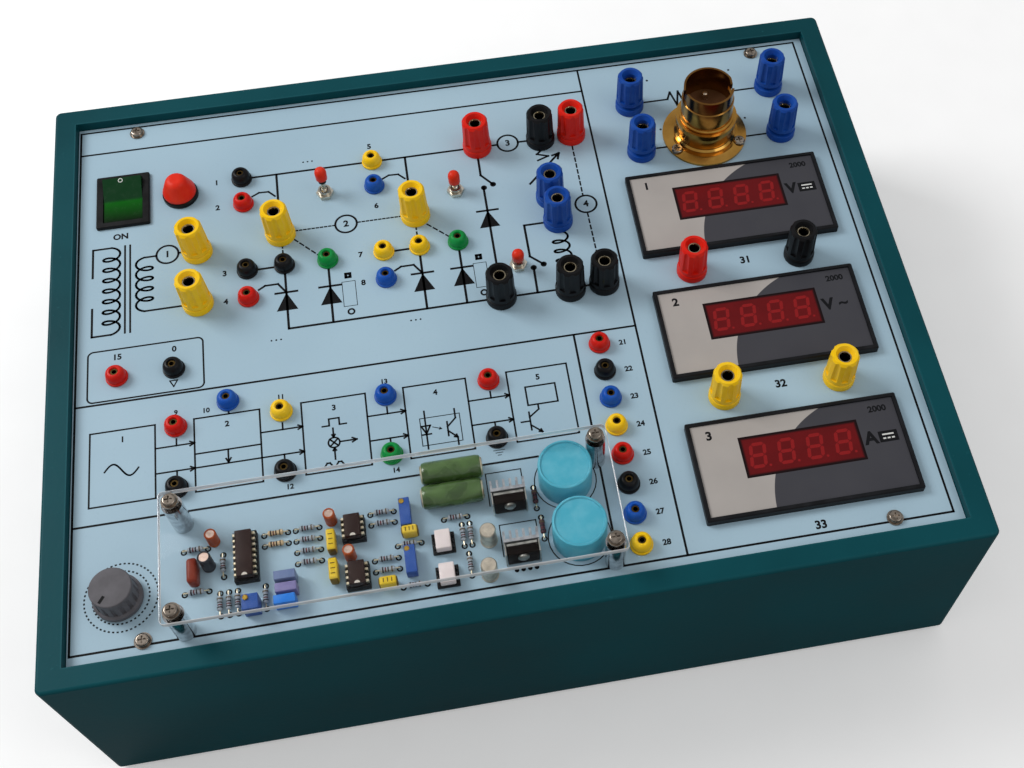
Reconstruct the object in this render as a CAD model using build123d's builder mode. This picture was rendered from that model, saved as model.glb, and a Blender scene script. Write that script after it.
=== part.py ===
"""Power electronics training bench: a desktop case with a recessed front panel.

The origin is the middle of the footprint on the table, X to the right, Y to the
back and Z up, in millimetres. Heights named "over the panel" start at panel_top.
"""

from build123d import *
import math
import os

os.makedirs("parts", exist_ok=True)

# Case and panel
case_width = 397.0
case_depth = 305.0
case_height = 108.0
case_wall = 2.0
foot_height = 4.0
corner_radius = 3.0
top_edge_radius = 1.5
rim_side = 10.4
rim_front = 9.8
panel_recess = 5.0
panel_thickness = 2.4
panel_clearance = 0.3
ledge_width = 10.0
ledge_thickness = 2.0
bottom_flange_width = 14.0
bottom_flange_thickness = 2.0
cover_plate_thickness = 1.5
cover_plate_clearance = 0.2

case_bottom = foot_height
case_top = case_bottom + case_height
panel_top = case_top - panel_recess
panel_bottom = panel_top - panel_thickness
ledge_bottom = panel_bottom - ledge_thickness
cover_plate_top = case_bottom + cover_plate_thickness
bottom_flange_top = cover_plate_top + bottom_flange_thickness
opening_width = case_width - 2 * rim_side
opening_depth = case_depth - 2 * rim_front
inner_width = case_width - 2 * case_wall
inner_depth = case_depth - 2 * case_wall

# Fits
hole_clearance = 0.05
bearing_clearance = 0.05
loose_gap = 0.3

# Machine screws, M3 throughout
screw_radius = 1.5
screw_hole_radius = screw_radius + hole_clearance
screw_head_radius = 2.9
screw_head_height = 1.8
screw_head_edge = 0.8
screw_overhang = 1.0
screw_slot_length = 3.2
screw_slot_width = 0.7
screw_slot_depth = 0.8
nut_flats = 5.5
nut_height = 2.4
washer_radius = 3.6
washer_thickness = 0.5
sunk_head_gap = 0.15
sunk_head_floor = 0.2

# Rubber feet
foot_radius = 8.0
foot_inset_x = 28.5
foot_inset_y = 28.5
foot_recess_radius = 4.0
foot_recess_depth = 2.4
foot_edge = 1.0

# Binding posts for 4 mm plugs
post_bore_radius = 2.0
post_bore_length = 15.0
post_stud_radius = 3.0
post_collar_radius = 7.2
post_collar_height = 4.0
post_collar_edge = 0.5
post_neck_radius = 4.0
post_height = 20.8
post_stud_recess = 2.2
post_head_foot_radius = 6.8
post_head_top_radius = 6.4
post_head_edge_width = 0.9
post_head_edge_height = 1.2
post_head_band = 2.2
post_head_raise = 2.0
post_flutes = 8
post_flute_radius = 2.4
post_flute_depth = 0.9
post_sink_radius = 4.3
post_stud_tail = 16.0
post_stud_edge = 0.5
post_drill_point = 1.0
post_washer_radius = 6.5
post_washer_thickness = 2.0
post_nut_flats = 9.0
post_nut_height = 3.0

# Small test sockets for 2 mm pins
socket_bore_radius = 1.05
socket_relief_radius = 1.3
socket_contact_radius = 1.6
socket_contact_recess = 0.9
socket_contact_floor = 1.0
socket_mouth_radius = 1.9
socket_foot_radius = 5.0
socket_foot_height = 1.2
socket_belly_radius = 4.4
socket_belly_height = 3.8
socket_shoulder_radius = 3.6
socket_shoulder_height = 5.4
socket_top_radius = 2.7
socket_height = 6.1
socket_neck_radius = 3.0
socket_barb_radius = 3.4
socket_barb_gap = 0.1
socket_barb_length = 1.5
socket_tail = 8.0
socket_body_tail = 6.5
socket_bore_floor = 0.3

# Rocker switch
rocker_x = -165.6
rocker_y = 93.0
rocker_width = 18.4
rocker_length = 25.4
rocker_side_gap = 0.25
rocker_end_gap = 0.35
rocker_side_wall = 1.75
rocker_end_wall = 1.15
rocker_lip = 1.55
rocker_body_width = rocker_width + 2 * (rocker_side_gap + rocker_side_wall)
rocker_body_depth = rocker_length + 2 * (rocker_end_gap + rocker_end_wall)
rocker_bezel_width = rocker_body_width + 2 * rocker_lip
rocker_bezel_depth = rocker_body_depth + 2 * rocker_lip
rocker_bezel_height = 1.9
rocker_bezel_corner = 0.8
rocker_bezel_edge = 0.6
rocker_body_drop = 20.0
rocker_angle = 16.0
rocker_valley = 1.2
rocker_belly = 4.0
rocker_belly_rise = 1.5
rocker_belly_run = 4.0
rocker_pin_radius = 1.2
rocker_pin_gap = 0.2
rocker_well = 8.4
terminal_width = 6.3
terminal_thickness = 0.8
terminal_length = 8.0
terminal_pitch_x = 12.0
terminal_pitch_y = 10.0

# Fuse holder with a lift-out cap
fuse_x = -138.0
fuse_y = 92.5
fuse_ring_radius = 8.5
fuse_ring_height = 2.5
fuse_ring_edge = 0.6
fuse_body_radius = 7.5
fuse_body_drop = 30.0
fuse_nut_radius = 10.0
fuse_nut_height = 3.0
fuse_plug_radius = 6.3
fuse_plug_drop = 6.0
fuse_cap_foot_radius = 7.9
fuse_cap_top_radius = 4.4
fuse_cap_rise = 9.6
fuse_cap_band = 1.4
fuse_cap_dome = 3.4
fuse_link_radius = 2.6
fuse_link_length = 20.0
fuse_link_seat = 4.0
fuse_well_clearance = 0.4

# Toggle switches
toggle_body_width = 8.0
toggle_body_depth = 13.0
toggle_body_drop = 12.0
toggle_bushing_radius = 2.9
toggle_bushing_rise = 4.0
toggle_nut_flats = 7.4
toggle_nut_height = 2.0
toggle_pivot_rise = 3.0
toggle_ball_radius = 2.0
toggle_ball_floor = 0.2
toggle_rod_radius = 1.0
toggle_collar_radius = 1.9
toggle_collar_height = 2.0
toggle_sleeve_radius = 2.9
toggle_sleeve_length = 6.8
toggle_sleeve_cap = 1.2
toggle_tip_flat = 0.4
toggle_tilt = 10.0

# Turning knob and its potentiometer
knob_x = -166.9
knob_y = -115.3
knob_skirt_radius = 10.2
knob_skirt_height = 3.0
knob_skirt_edge = 0.8
knob_grip_radius = 8.7
knob_grip_taper = 0.4
knob_height = 13.4
knob_crown = 2.0
knob_crown_edge = 0.6
knob_lift = 1.0
knob_grooves = 16
knob_groove_radius = 0.9
knob_groove_offset = 0.45
knob_hollow_radius = 6.8
knob_hollow_height = 4.4
pot_body_radius = 8.0
pot_body_drop = 10.0
pot_body_floor = 2.0
pot_bushing_radius = 3.75
pot_bushing_rise = 4.5
pot_nut_flats = 10.0
pot_nut_height = 2.0
pot_shaft_radius = 3.0

# Panel meters, 96 x 48 bezels
meter_x = 126.2
meter_rows = [39.4, -29.9, -101.4]
meter_width = 96.0
meter_depth = 48.0
meter_bezel_height = 4.0
meter_rim = 1.9
meter_window_thickness = 1.5
meter_window_recess = 0.8
meter_window_clearance = 0.1
meter_flange_side = 2.2
meter_flange_end = 1.7
meter_body_width = meter_width - 2 * meter_flange_side
meter_body_depth = meter_depth - 2 * meter_flange_end
meter_body_drop = 60.0
meter_cut_clearance = 0.2
meter_corner_radius = 0.8
meter_edge = 0.6

# Lamp holder, bayonet pattern with a 22 mm bore
lamp_x = 123.7
lamp_y = 86.8
lamp_flange_radius = 21.2
lamp_flange_height = 2.2
lamp_flange_edge = 1.2
lamp_flange_slope = 4.2
lamp_root_radius = 15.6
lamp_root_step = 0.2
lamp_root_height = 3.4
lamp_body_foot = 4.2
lamp_body_radius = 14.4
lamp_body_top = 11.5
lamp_bead_radius = 15.2
lamp_bead_foot = 0.5
lamp_bead_top = 3.3
lamp_barrel_foot = 3.6
lamp_ring_radius = 13.7
lamp_ring_foot = 3.9
lamp_ring_height = 0.8
lamp_ring_edge = 0.3
lamp_barrel_radius = 12.3
lamp_lower_barrel_radius = 12.9
lamp_lower_barrel_top = 27.0
lamp_height = 34.9
lamp_bore_radius = 11.3
lamp_seat_radius = 12.0
lamp_relief_radius = 11.6
lamp_relief_gap = 0.4
lamp_insert_top = 20.0
lamp_insert_clearance = 0.1
lamp_screw_circle = 18.3
lamp_slot_width = 2.6
lamp_slot_drop = 8.0
lamp_slot_hook = 18.0
lamp_mouth_width = 7.0
lamp_mouth_drop = 2.2
lamp_screw_pocket = 0.2
lamp_pin_spacing = 12.0
lamp_pin_radius = 1.6
lamp_pin_rise = 4.0
lamp_pin_travel = 3.0
lamp_pin_length = 12.0
lamp_pin_dome = 1.0
lamp_guide_floor = 1.0
lamp_wire_hole_radius = 2.5

# Clear cover over the component board
cover_x = -51.6
cover_y = -110.0
cover_width = 187.0
cover_depth = 58.0
cover_thickness = 3.0
cover_corner_radius = 2.0
pillar_radius = 4.3
pillar_height = 20.0
pillar_spigot_radius = 1.95
pillar_tap_depth = 8.0
pillar_spacing_x = 177.1
pillar_spacing_y = 48.0

# Mains inlet in the rear wall
inlet_height = 58.0
inlet_flange_width = 50.0
inlet_flange_depth = 24.0
inlet_flange_thickness = 2.3
inlet_flange_corner = 5.0
inlet_body_width = 27.4
inlet_body_height = 19.8
inlet_body_length = 24.0
inlet_cavity_width = 24.4
inlet_cavity_height = 16.6
inlet_cavity_depth = 19.0
inlet_cavity_corner = 2.0
inlet_pin_length = 12.0
inlet_pin_width = 4.0
inlet_pin_thickness = 2.0
inlet_pin_spacing = 14.0
inlet_pin_offset = 2.0
inlet_screw_spacing = 40.0

# Mains transformer on the floor of the case
transformer_x = -120.0
transformer_y = 40.0
core_width = 84.0
core_height = 70.0
core_stack = 34.0
core_window_width = 14.0
core_window_height = 42.0
core_leg = 28.0
winding_overhang = 13.0
winding_clearance = 0.3
winding_corner = 4.0

# Places of the 4 mm posts, one list for each colour of head
post_places = {
    "yellow": [
        (-130.8, 56.2),
        (-131.2, 26.2),
        (-91.1, 59.7),
        (-26.0, 60.0),
        (99.5, -64.7),
        (152.6, -64.3),
    ],
    "red": [
        (9.2, 97.2),
        (57.0, 97.3),
        (99.6, 4.9),
    ],
    "black": [
        (41.2, 96.7),
        (8.6, 5.3),
        (41.2, 4.2),
        (57.4, 4.9),
        (151.9, 5.2),
    ],
    "blue": [
        (41.8, 44.7),
        (40.5, 59.5),
        (89.7, 111.0),
        (90.0, 80.3),
        (163.0, 111.8),
        (161.9, 81.0),
    ],
}
all_posts = [place for group in post_places.values() for place in group]
raised_heads = [(89.7, 111.0), (90.0, 80.3), (163.0, 111.8), (161.9, 81.0)]

# Places of the 2 mm test sockets: eight in one column, the rest by block
socket_column_x = 49.2
socket_column_top = -28.0
socket_pitch = 14.4
socket_column = [(socket_column_x, socket_column_top - socket_pitch * row) for row in range(8)]
gate_sockets = [
    (-108.2, 97.1),
    (-108.0, 81.4),
    (-107.8, 41.2),
    (-108.0, 25.2),
    (-90.4, 41.2),
    (-69.9, 40.7),
    (-43.8, 97.0),
    (-44.0, 81.5),
    (-43.2, 40.8),
    (-43.5, 25.0),
    (-26.0, 40.9),
    (-7.5, 40.7),
]
block_sockets = [
    (-168.3, -7.8),
    (-142.9, -7.8),
    (-142.6, -38.2),
    (-119.5, -29.0),
    (-96.3, -38.4),
    (-50.0, -38.4),
    (-3.5, -38.4),
    (-142.6, -68.5),
    (-96.2, -68.5),
    (-50.0, -68.3),
    (-3.7, -68.3),
]
all_sockets = gate_sockets + block_sockets + socket_column

# Toggle switches: name, place, reach of the lever over its pivot, lean to the back
toggles = {
    "mode_lever": (-68.2, 81.0, 14.0, toggle_tilt),
    "s1_lever": (-4.9, 71.5, 10.3, toggle_tilt),
    "s2_lever": (19.1, 22.3, 10.3, -toggle_tilt),
}
toggle_places = [(x, y) for x, y, reach, lean in toggles.values()]

# Corner screws of the panel
panel_screw_places = [
    (-157.4, -135.1),
    (158.0, -135.4),
    (-159.0, 136.0),
    (159.6, 136.2),
]
pillar_places = [
    (cover_x + sx * pillar_spacing_x / 2, cover_y + sy * pillar_spacing_y / 2)
    for sx in (-1, 1)
    for sy in (-1, 1)
]
lamp_screw_places = [
    (
        lamp_x + lamp_screw_circle * math.cos(math.radians(angle)),
        lamp_y + lamp_screw_circle * math.sin(math.radians(angle)),
    )
    for angle in (90, 210, 330)
]
lamp_pin_places = [(lamp_x, lamp_y + side * lamp_pin_spacing / 2) for side in (-1, 1)]
foot_places = [
    (sx * (case_width / 2 - foot_inset_x), sy * (case_depth / 2 - foot_inset_y))
    for sx in (-1, 1)
    for sy in (-1, 1)
]
cover_screw_x = case_width / 2 - case_wall - bottom_flange_width / 2
cover_screw_y = case_depth / 2 - case_wall - bottom_flange_width / 2
cover_screw_places = [(sx * cover_screw_x, sy * cover_screw_y) for sx in (-1, 1) for sy in (-1, 1)]
cover_screw_places += [(0, sy * cover_screw_y) for sy in (-1, 1)]
inlet_screw_places = [(side * inlet_screw_spacing / 2, inlet_height) for side in (-1, 1)]


def over_panel(height):
    """The plane at a height over the top face of the panel."""
    return Plane.XY.offset(panel_top + height)


def at_height(places, height):
    """The places of a pattern, at a height over the top face of the panel."""
    return [(x, y, panel_top + height) for x, y in places]


def save(name, *pieces):
    """Label the finished pieces of one node and write them as separate solids."""
    node = pieces[0].part
    if len(pieces) > 1:
        node = Compound([solid for piece in pieces for solid in piece.part.solids()])
    node.label = name
    export_step(node, f"parts/{name}.step")


def turned(points):
    """A closed outline of radius and height points, turned about the Z axis."""
    with BuildPart() as shape:
        with BuildSketch(Plane.XZ):
            with BuildLine():
                Polyline(*points, close=True)
            make_face()
        revolve(axis=Axis.Z)
    return shape


def copies(shape, places):
    """The same shape standing at each of the places."""
    with BuildPart() as group:
        with Locations(*places):
            add(shape.part)
    return group


# Case shell: folded sheet with a rim, a ledge for the panel and a bottom flange
with BuildPart() as case_shell:
    with BuildSketch(Plane.XY.offset(case_bottom)):
        RectangleRounded(case_width, case_depth, corner_radius)
    extrude(amount=case_height)
    fillet(case_shell.faces().sort_by(Axis.Z)[-1].edges(), top_edge_radius)
    with BuildSketch(Plane.XY.offset(case_bottom)):
        RectangleRounded(inner_width, inner_depth, corner_radius - case_wall)
    extrude(amount=case_height - case_wall, mode=Mode.SUBTRACT)
    with BuildSketch(Plane.XY.offset(case_top - case_wall)):
        Rectangle(opening_width, opening_depth)
    extrude(amount=case_wall, mode=Mode.SUBTRACT)
    with BuildSketch(Plane.XY.offset(ledge_bottom)):
        Rectangle(opening_width + 2 * case_wall, opening_depth + 2 * case_wall)
        Rectangle(opening_width, opening_depth, mode=Mode.SUBTRACT)
    extrude(amount=case_top - case_wall - ledge_bottom)
    with BuildSketch(Plane.XY.offset(ledge_bottom)):
        Rectangle(opening_width, opening_depth)
        Rectangle(opening_width - 2 * ledge_width, opening_depth - 2 * ledge_width, mode=Mode.SUBTRACT)
    extrude(amount=ledge_thickness)
    with BuildSketch(Plane.XY.offset(cover_plate_top)):
        Rectangle(inner_width, inner_depth)
        Rectangle(
            inner_width - 2 * bottom_flange_width,
            inner_depth - 2 * bottom_flange_width,
            mode=Mode.SUBTRACT,
        )
    extrude(amount=bottom_flange_thickness)
    with Locations(*[(x, y, ledge_bottom) for x, y in panel_screw_places]):
        Cylinder(
            screw_hole_radius,
            ledge_thickness,
            align=(Align.CENTER, Align.CENTER, Align.MIN),
            mode=Mode.SUBTRACT,
        )
    with Locations(*[(x, y, cover_plate_top) for x, y in cover_screw_places]):
        Cylinder(
            screw_hole_radius,
            bottom_flange_thickness,
            align=(Align.CENTER, Align.CENTER, Align.MIN),
            mode=Mode.SUBTRACT,
        )
    with BuildSketch(Plane.XZ.offset(-case_depth / 2)):
        with Locations((0, inlet_height)):
            Rectangle(inlet_body_width + 2 * hole_clearance, inlet_body_height + 2 * hole_clearance)
        with Locations(*inlet_screw_places):
            Circle(screw_hole_radius)
    extrude(amount=case_wall, mode=Mode.SUBTRACT)
save("case_shell", case_shell)

# Bottom cover: a flat plate inside the wall, against the bottom flange
screw_sink_depth = cover_plate_thickness - sunk_head_floor
with BuildPart() as bottom_cover:
    with BuildSketch(Plane.XY.offset(case_bottom)):
        RectangleRounded(
            inner_width - 2 * cover_plate_clearance,
            inner_depth - 2 * cover_plate_clearance,
            corner_radius - case_wall,
        )
        with Locations(*foot_places):
            Circle(screw_hole_radius, mode=Mode.SUBTRACT)
        with Locations(*cover_screw_places):
            Circle(screw_hole_radius, mode=Mode.SUBTRACT)
    extrude(amount=cover_plate_thickness)
    with Locations(*[(x, y, case_bottom) for x, y in cover_screw_places]):
        Cone(
            screw_head_radius + hole_clearance,
            screw_hole_radius,
            screw_sink_depth,
            align=(Align.CENTER, Align.CENTER, Align.MIN),
            mode=Mode.SUBTRACT,
        )
save("bottom_cover", bottom_cover)

# Rubber feet, each with a recess for its screw
foot_shape = turned(
    [
        (screw_hole_radius, foot_recess_depth),
        (foot_recess_radius, foot_recess_depth),
        (foot_recess_radius, 0),
        (foot_radius - foot_edge, 0),
        (foot_radius, foot_edge),
        (foot_radius, foot_height),
        (screw_hole_radius, foot_height),
    ]
)
rubber_feet = copies(foot_shape, [(x, y, 0) for x, y in foot_places])
save("rubber_feet", rubber_feet)


def pan_screw(shank):
    """A cross-recessed pan head screw: head above Z = 0, shank below it."""
    with BuildPart() as screw:
        with BuildSketch(Plane.XY):
            Circle(screw_head_radius)
        extrude(amount=screw_head_height)
        fillet(screw.edges().sort_by(Axis.Z)[-1], screw_head_edge)
        with BuildSketch(Plane.XY):
            Circle(screw_radius)
        extrude(amount=-shank)
        with BuildSketch(Plane.XY.offset(screw_head_height)):
            Rectangle(screw_slot_length, screw_slot_width)
            Rectangle(screw_slot_width, screw_slot_length)
        extrude(amount=-screw_slot_depth, mode=Mode.SUBTRACT)
    return screw


def plain_nut(flats, height, bore):
    """A hexagon nut standing on Z = 0, its thread shown as a plain bore."""
    with BuildPart() as nut:
        with BuildSketch(Plane.XY):
            RegularPolygon(flats / 2, 6, major_radius=False)
            Circle(bore, mode=Mode.SUBTRACT)
        extrude(amount=height)
    return nut


def washer(outer, bore, thickness):
    """A flat ring standing on Z = 0."""
    with BuildPart() as ring:
        with BuildSketch(Plane.XY):
            Circle(outer)
            Circle(bore, mode=Mode.SUBTRACT)
        extrude(amount=thickness)
    return ring


m3_nut = plain_nut(nut_flats, nut_height, screw_hole_radius)
m3_washer = washer(washer_radius, screw_hole_radius, washer_thickness)

# Case screws: cover plate, feet and inlet, with their nuts
cover_screw_end = bottom_flange_top + nut_height + screw_overhang
foot_screw_end = cover_plate_top + nut_height + screw_overhang
sunk_screw = turned(
    [
        (0, case_bottom + sunk_head_gap),
        (screw_head_radius - sunk_head_gap, case_bottom + sunk_head_gap),
        (screw_radius, case_bottom + screw_sink_depth),
        (screw_radius, cover_screw_end),
        (0, cover_screw_end),
    ]
)
foot_screw = pan_screw(foot_screw_end - foot_recess_depth)
inlet_outer_face = case_depth / 2 + inlet_flange_thickness
inlet_screw = pan_screw(inlet_flange_thickness + case_wall + nut_height + screw_overhang)
inlet_screw_seats = [
    Location((x, inlet_outer_face - screw_head_height, z), (-90, 0, 0)) for x, z in inlet_screw_places
]
inlet_nut_seats = [Location((x, case_depth / 2 - case_wall, z), (90, 0, 0)) for x, z in inlet_screw_places]
save(
    "case_screws",
    copies(sunk_screw, [(x, y, 0) for x, y in cover_screw_places]),
    copies(m3_nut, [(x, y, bottom_flange_top) for x, y in cover_screw_places]),
    copies(foot_screw, [Location((x, y, foot_recess_depth), (180, 0, 0)) for x, y in foot_places]),
    copies(m3_nut, [(x, y, cover_plate_top) for x, y in foot_places]),
    copies(inlet_screw, inlet_screw_seats),
    copies(m3_nut, inlet_nut_seats),
)

# Front panel: one plate with a hole for everything that passes through it
toggle_hole = toggle_bushing_radius + hole_clearance
pot_hole = pot_bushing_radius + hole_clearance
with BuildPart() as front_panel:
    with BuildSketch(Plane.XY.offset(panel_bottom)):
        Rectangle(opening_width - 2 * panel_clearance, opening_depth - 2 * panel_clearance)
        with Locations(*all_posts):
            Circle(post_neck_radius + hole_clearance, mode=Mode.SUBTRACT)
        with Locations(*all_sockets):
            Circle(socket_neck_radius + hole_clearance, mode=Mode.SUBTRACT)
        with Locations((rocker_x, rocker_y)):
            Rectangle(
                rocker_body_width + 2 * hole_clearance,
                rocker_body_depth + 2 * hole_clearance,
                mode=Mode.SUBTRACT,
            )
        with Locations((fuse_x, fuse_y)):
            Circle(fuse_body_radius + hole_clearance, mode=Mode.SUBTRACT)
        with Locations(*toggle_places):
            Circle(toggle_hole, mode=Mode.SUBTRACT)
        with Locations((knob_x, knob_y)):
            Circle(pot_hole, mode=Mode.SUBTRACT)
        with Locations(*[(meter_x, y) for y in meter_rows]):
            Rectangle(
                meter_body_width + 2 * meter_cut_clearance,
                meter_body_depth + 2 * meter_cut_clearance,
                mode=Mode.SUBTRACT,
            )
        with Locations(*panel_screw_places, *lamp_screw_places):
            Circle(screw_hole_radius, mode=Mode.SUBTRACT)
        with Locations(*pillar_places):
            Circle(pillar_spigot_radius + hole_clearance, mode=Mode.SUBTRACT)
        with Locations(*lamp_pin_places):
            Circle(lamp_wire_hole_radius, mode=Mode.SUBTRACT)
    extrude(amount=panel_thickness)
save("front_panel", front_panel)

# Screws on the panel: its own four, the cover's four and the lamp holder's three
under_panel_screws = panel_thickness + nut_height + screw_overhang
panel_screw = pan_screw(washer_thickness + ledge_thickness + under_panel_screws)
sheet_screw = pan_screw(washer_thickness + cover_thickness + pillar_tap_depth - screw_overhang)
lamp_screw = pan_screw(lamp_flange_edge + under_panel_screws)
cover_top = pillar_height + cover_thickness
under_ledge = -panel_thickness - ledge_thickness - nut_height
save(
    "panel_screws",
    copies(m3_washer, at_height(panel_screw_places, 0)),
    copies(panel_screw, at_height(panel_screw_places, washer_thickness)),
    copies(m3_nut, at_height(panel_screw_places, under_ledge)),
    copies(m3_washer, at_height(pillar_places, cover_top)),
    copies(sheet_screw, at_height(pillar_places, cover_top + washer_thickness)),
    copies(lamp_screw, at_height(lamp_screw_places, lamp_flange_edge)),
    copies(m3_nut, at_height(lamp_screw_places, -panel_thickness - nut_height)),
)

# Mains inlet: a moulded shroud with a flange outside the rear wall and three pins
inlet_face = Plane.XZ.offset(-inlet_outer_face)
with BuildPart() as mains_inlet:
    with BuildSketch(inlet_face):
        with Locations((0, inlet_height)):
            RectangleRounded(inlet_flange_width, inlet_flange_depth, inlet_flange_corner)
    extrude(amount=inlet_flange_thickness)
    with BuildSketch(inlet_face):
        with Locations((0, inlet_height)):
            Rectangle(inlet_body_width, inlet_body_height)
    extrude(amount=inlet_body_length)
    with BuildSketch(inlet_face):
        with Locations((0, inlet_height)):
            RectangleRounded(inlet_cavity_width, inlet_cavity_height, inlet_cavity_corner)
    extrude(amount=inlet_cavity_depth, mode=Mode.SUBTRACT)
    with BuildSketch(inlet_face):
        with Locations(*inlet_screw_places):
            Circle(screw_hole_radius)
    extrude(amount=inlet_flange_thickness, mode=Mode.SUBTRACT)
    with BuildSketch(inlet_face):
        with Locations(*inlet_screw_places):
            Circle(screw_head_radius + hole_clearance)
    extrude(amount=screw_head_height, mode=Mode.SUBTRACT)
with BuildPart() as inlet_pins:
    with BuildSketch(Plane.XZ.offset(inlet_cavity_depth - inlet_outer_face)):
        with Locations(
            (-inlet_pin_spacing / 2, inlet_height - inlet_pin_offset),
            (0, inlet_height + inlet_pin_offset),
            (inlet_pin_spacing / 2, inlet_height - inlet_pin_offset),
        ):
            Rectangle(inlet_pin_thickness, inlet_pin_width)
    extrude(amount=-inlet_pin_length)
save("mains_inlet", mains_inlet, inlet_pins)

# Rocker switch housing: bezel on the panel, well for the rocker, terminals below
rocker_well_width = rocker_width + 2 * rocker_side_gap
rocker_well_depth = rocker_length + 2 * rocker_end_gap
with BuildPart() as switch_housing:
    with BuildSketch(over_panel(0)):
        with Locations((rocker_x, rocker_y)):
            RectangleRounded(rocker_bezel_width, rocker_bezel_depth, rocker_bezel_corner)
    extrude(amount=rocker_bezel_height)
    fillet(switch_housing.faces().sort_by(Axis.Z)[-1].edges(), rocker_bezel_edge)
    with BuildSketch(over_panel(0)):
        with Locations((rocker_x, rocker_y)):
            Rectangle(rocker_body_width, rocker_body_depth)
    extrude(amount=-rocker_body_drop)
    with BuildSketch(over_panel(rocker_bezel_height)):
        with Locations((rocker_x, rocker_y)):
            Rectangle(rocker_well_width, rocker_well_depth)
    extrude(amount=-rocker_bezel_height - rocker_well, mode=Mode.SUBTRACT)
    with Locations((rocker_x, rocker_y, panel_top)):
        Cylinder(
            rocker_pin_radius + bearing_clearance,
            rocker_body_width,
            rotation=(0, 90, 0),
            mode=Mode.SUBTRACT,
        )
    with BuildSketch(over_panel(-rocker_body_drop)):
        with Locations((rocker_x, rocker_y)):
            with GridLocations(terminal_pitch_x, terminal_pitch_y, 2, 2):
                Rectangle(terminal_width, terminal_thickness)
    extrude(amount=-terminal_length)
save("switch_housing", switch_housing)

# Rocker: front half level with the bezel, back half standing up
half = rocker_length / 2
rise = half * math.tan(math.radians(rocker_angle))
with BuildPart() as power_rocker:
    with BuildSketch(Plane.YZ.offset(rocker_x - rocker_width / 2)):
        with BuildLine():
            Polyline(
                (rocker_y - half, panel_top + rocker_valley),
                (rocker_y, panel_top + rocker_valley),
                (rocker_y + half, panel_top + rocker_valley + rise),
                (rocker_y + half, panel_top - rocker_belly + rocker_belly_rise),
                (rocker_y + half - rocker_belly_run, panel_top - rocker_belly),
                (rocker_y - half + rocker_belly_run, panel_top - rocker_belly),
                (rocker_y - half, panel_top - rocker_belly + rocker_belly_rise),
                close=True,
            )
        make_face()
        with Locations((rocker_y, panel_top)):
            Circle(half, mode=Mode.INTERSECT)
    extrude(amount=rocker_width)
    with Locations((rocker_x, rocker_y, panel_top)):
        Cylinder(rocker_pin_radius, rocker_body_width - 2 * rocker_pin_gap, rotation=(0, 90, 0))
save("power_rocker", power_rocker)

# Fuse holder: ring on the panel, stepped well inside, nut under the panel
fuse_plug_bore = fuse_plug_radius + bearing_clearance
fuse_link_bore = fuse_link_radius + fuse_well_clearance
fuse_link_bottom = -fuse_plug_drop + fuse_link_seat - fuse_link_length
fuse_well_bottom = fuse_link_bottom - fuse_well_clearance
fuse_tube = turned(
    [
        (0, -fuse_body_drop),
        (fuse_body_radius, -fuse_body_drop),
        (fuse_body_radius, 0),
        (fuse_ring_radius, 0),
        (fuse_ring_radius, fuse_ring_height - fuse_ring_edge),
        (fuse_ring_radius - fuse_ring_edge, fuse_ring_height),
        (fuse_plug_bore, fuse_ring_height),
        (fuse_plug_bore, -fuse_plug_drop - loose_gap),
        (fuse_link_bore, -fuse_plug_drop - loose_gap),
        (fuse_link_bore, fuse_well_bottom),
        (0, fuse_well_bottom),
    ]
)
fuse_nut = washer(fuse_nut_radius, fuse_body_radius + hole_clearance, fuse_nut_height)
save(
    "fuse_holder",
    copies(fuse_tube, [(fuse_x, fuse_y, panel_top)]),
    copies(fuse_nut, [(fuse_x, fuse_y, panel_bottom - fuse_nut_height)]),
)

# Fuse cap: a domed grip over a plug that holds the link
fuse_cap_foot = fuse_ring_height + loose_gap
fuse_cap_top = fuse_cap_foot + fuse_cap_rise
with BuildPart() as fuse_cap_shape:
    with BuildSketch(Plane.XZ):
        with BuildLine():
            Polyline(
                (0, fuse_cap_top),
                (fuse_cap_top_radius, fuse_cap_top),
                (fuse_cap_foot_radius, fuse_cap_foot + fuse_cap_band),
                (fuse_cap_foot_radius, fuse_cap_foot),
                (fuse_plug_radius, fuse_cap_foot),
                (fuse_plug_radius, -fuse_plug_drop),
                (fuse_link_radius, -fuse_plug_drop),
                (fuse_link_radius, -fuse_plug_drop + fuse_link_seat),
                (0, -fuse_plug_drop + fuse_link_seat),
                close=True,
            )
        make_face()
    revolve(axis=Axis.Z)
    top_rings = fuse_cap_shape.edges().filter_by(GeomType.CIRCLE).sort_by(Axis.Z)
    fillet(top_rings[-1], fuse_cap_dome)
fuse_cap = copies(fuse_cap_shape, [(fuse_x, fuse_y, panel_top)])
save("fuse_cap", fuse_cap)

# Fuse link: a glass tube with two end caps
with BuildPart() as fuse_link:
    with BuildSketch(over_panel(fuse_link_bottom)):
        with Locations((fuse_x, fuse_y)):
            Circle(fuse_link_radius)
    extrude(amount=fuse_link_length)
save("fuse_link", fuse_link)

# Toggle switch bodies: a box below the panel and a hollow bushing through it
toggle_ball_bore = toggle_ball_radius + bearing_clearance
with BuildPart() as toggle_bodies:
    with BuildSketch(over_panel(-panel_thickness)):
        with Locations(*toggle_places):
            Rectangle(toggle_body_width, toggle_body_depth)
    extrude(amount=-toggle_body_drop)
    with BuildSketch(over_panel(-panel_thickness)):
        with Locations(*toggle_places):
            Circle(toggle_bushing_radius)
    extrude(amount=panel_thickness + toggle_bushing_rise)
    with BuildSketch(over_panel(toggle_bushing_rise)):
        with Locations(*toggle_places):
            Circle(toggle_ball_bore)
    extrude(amount=-toggle_bushing_rise - toggle_ball_floor, mode=Mode.SUBTRACT)
save("toggle_bodies", toggle_bodies)

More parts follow.
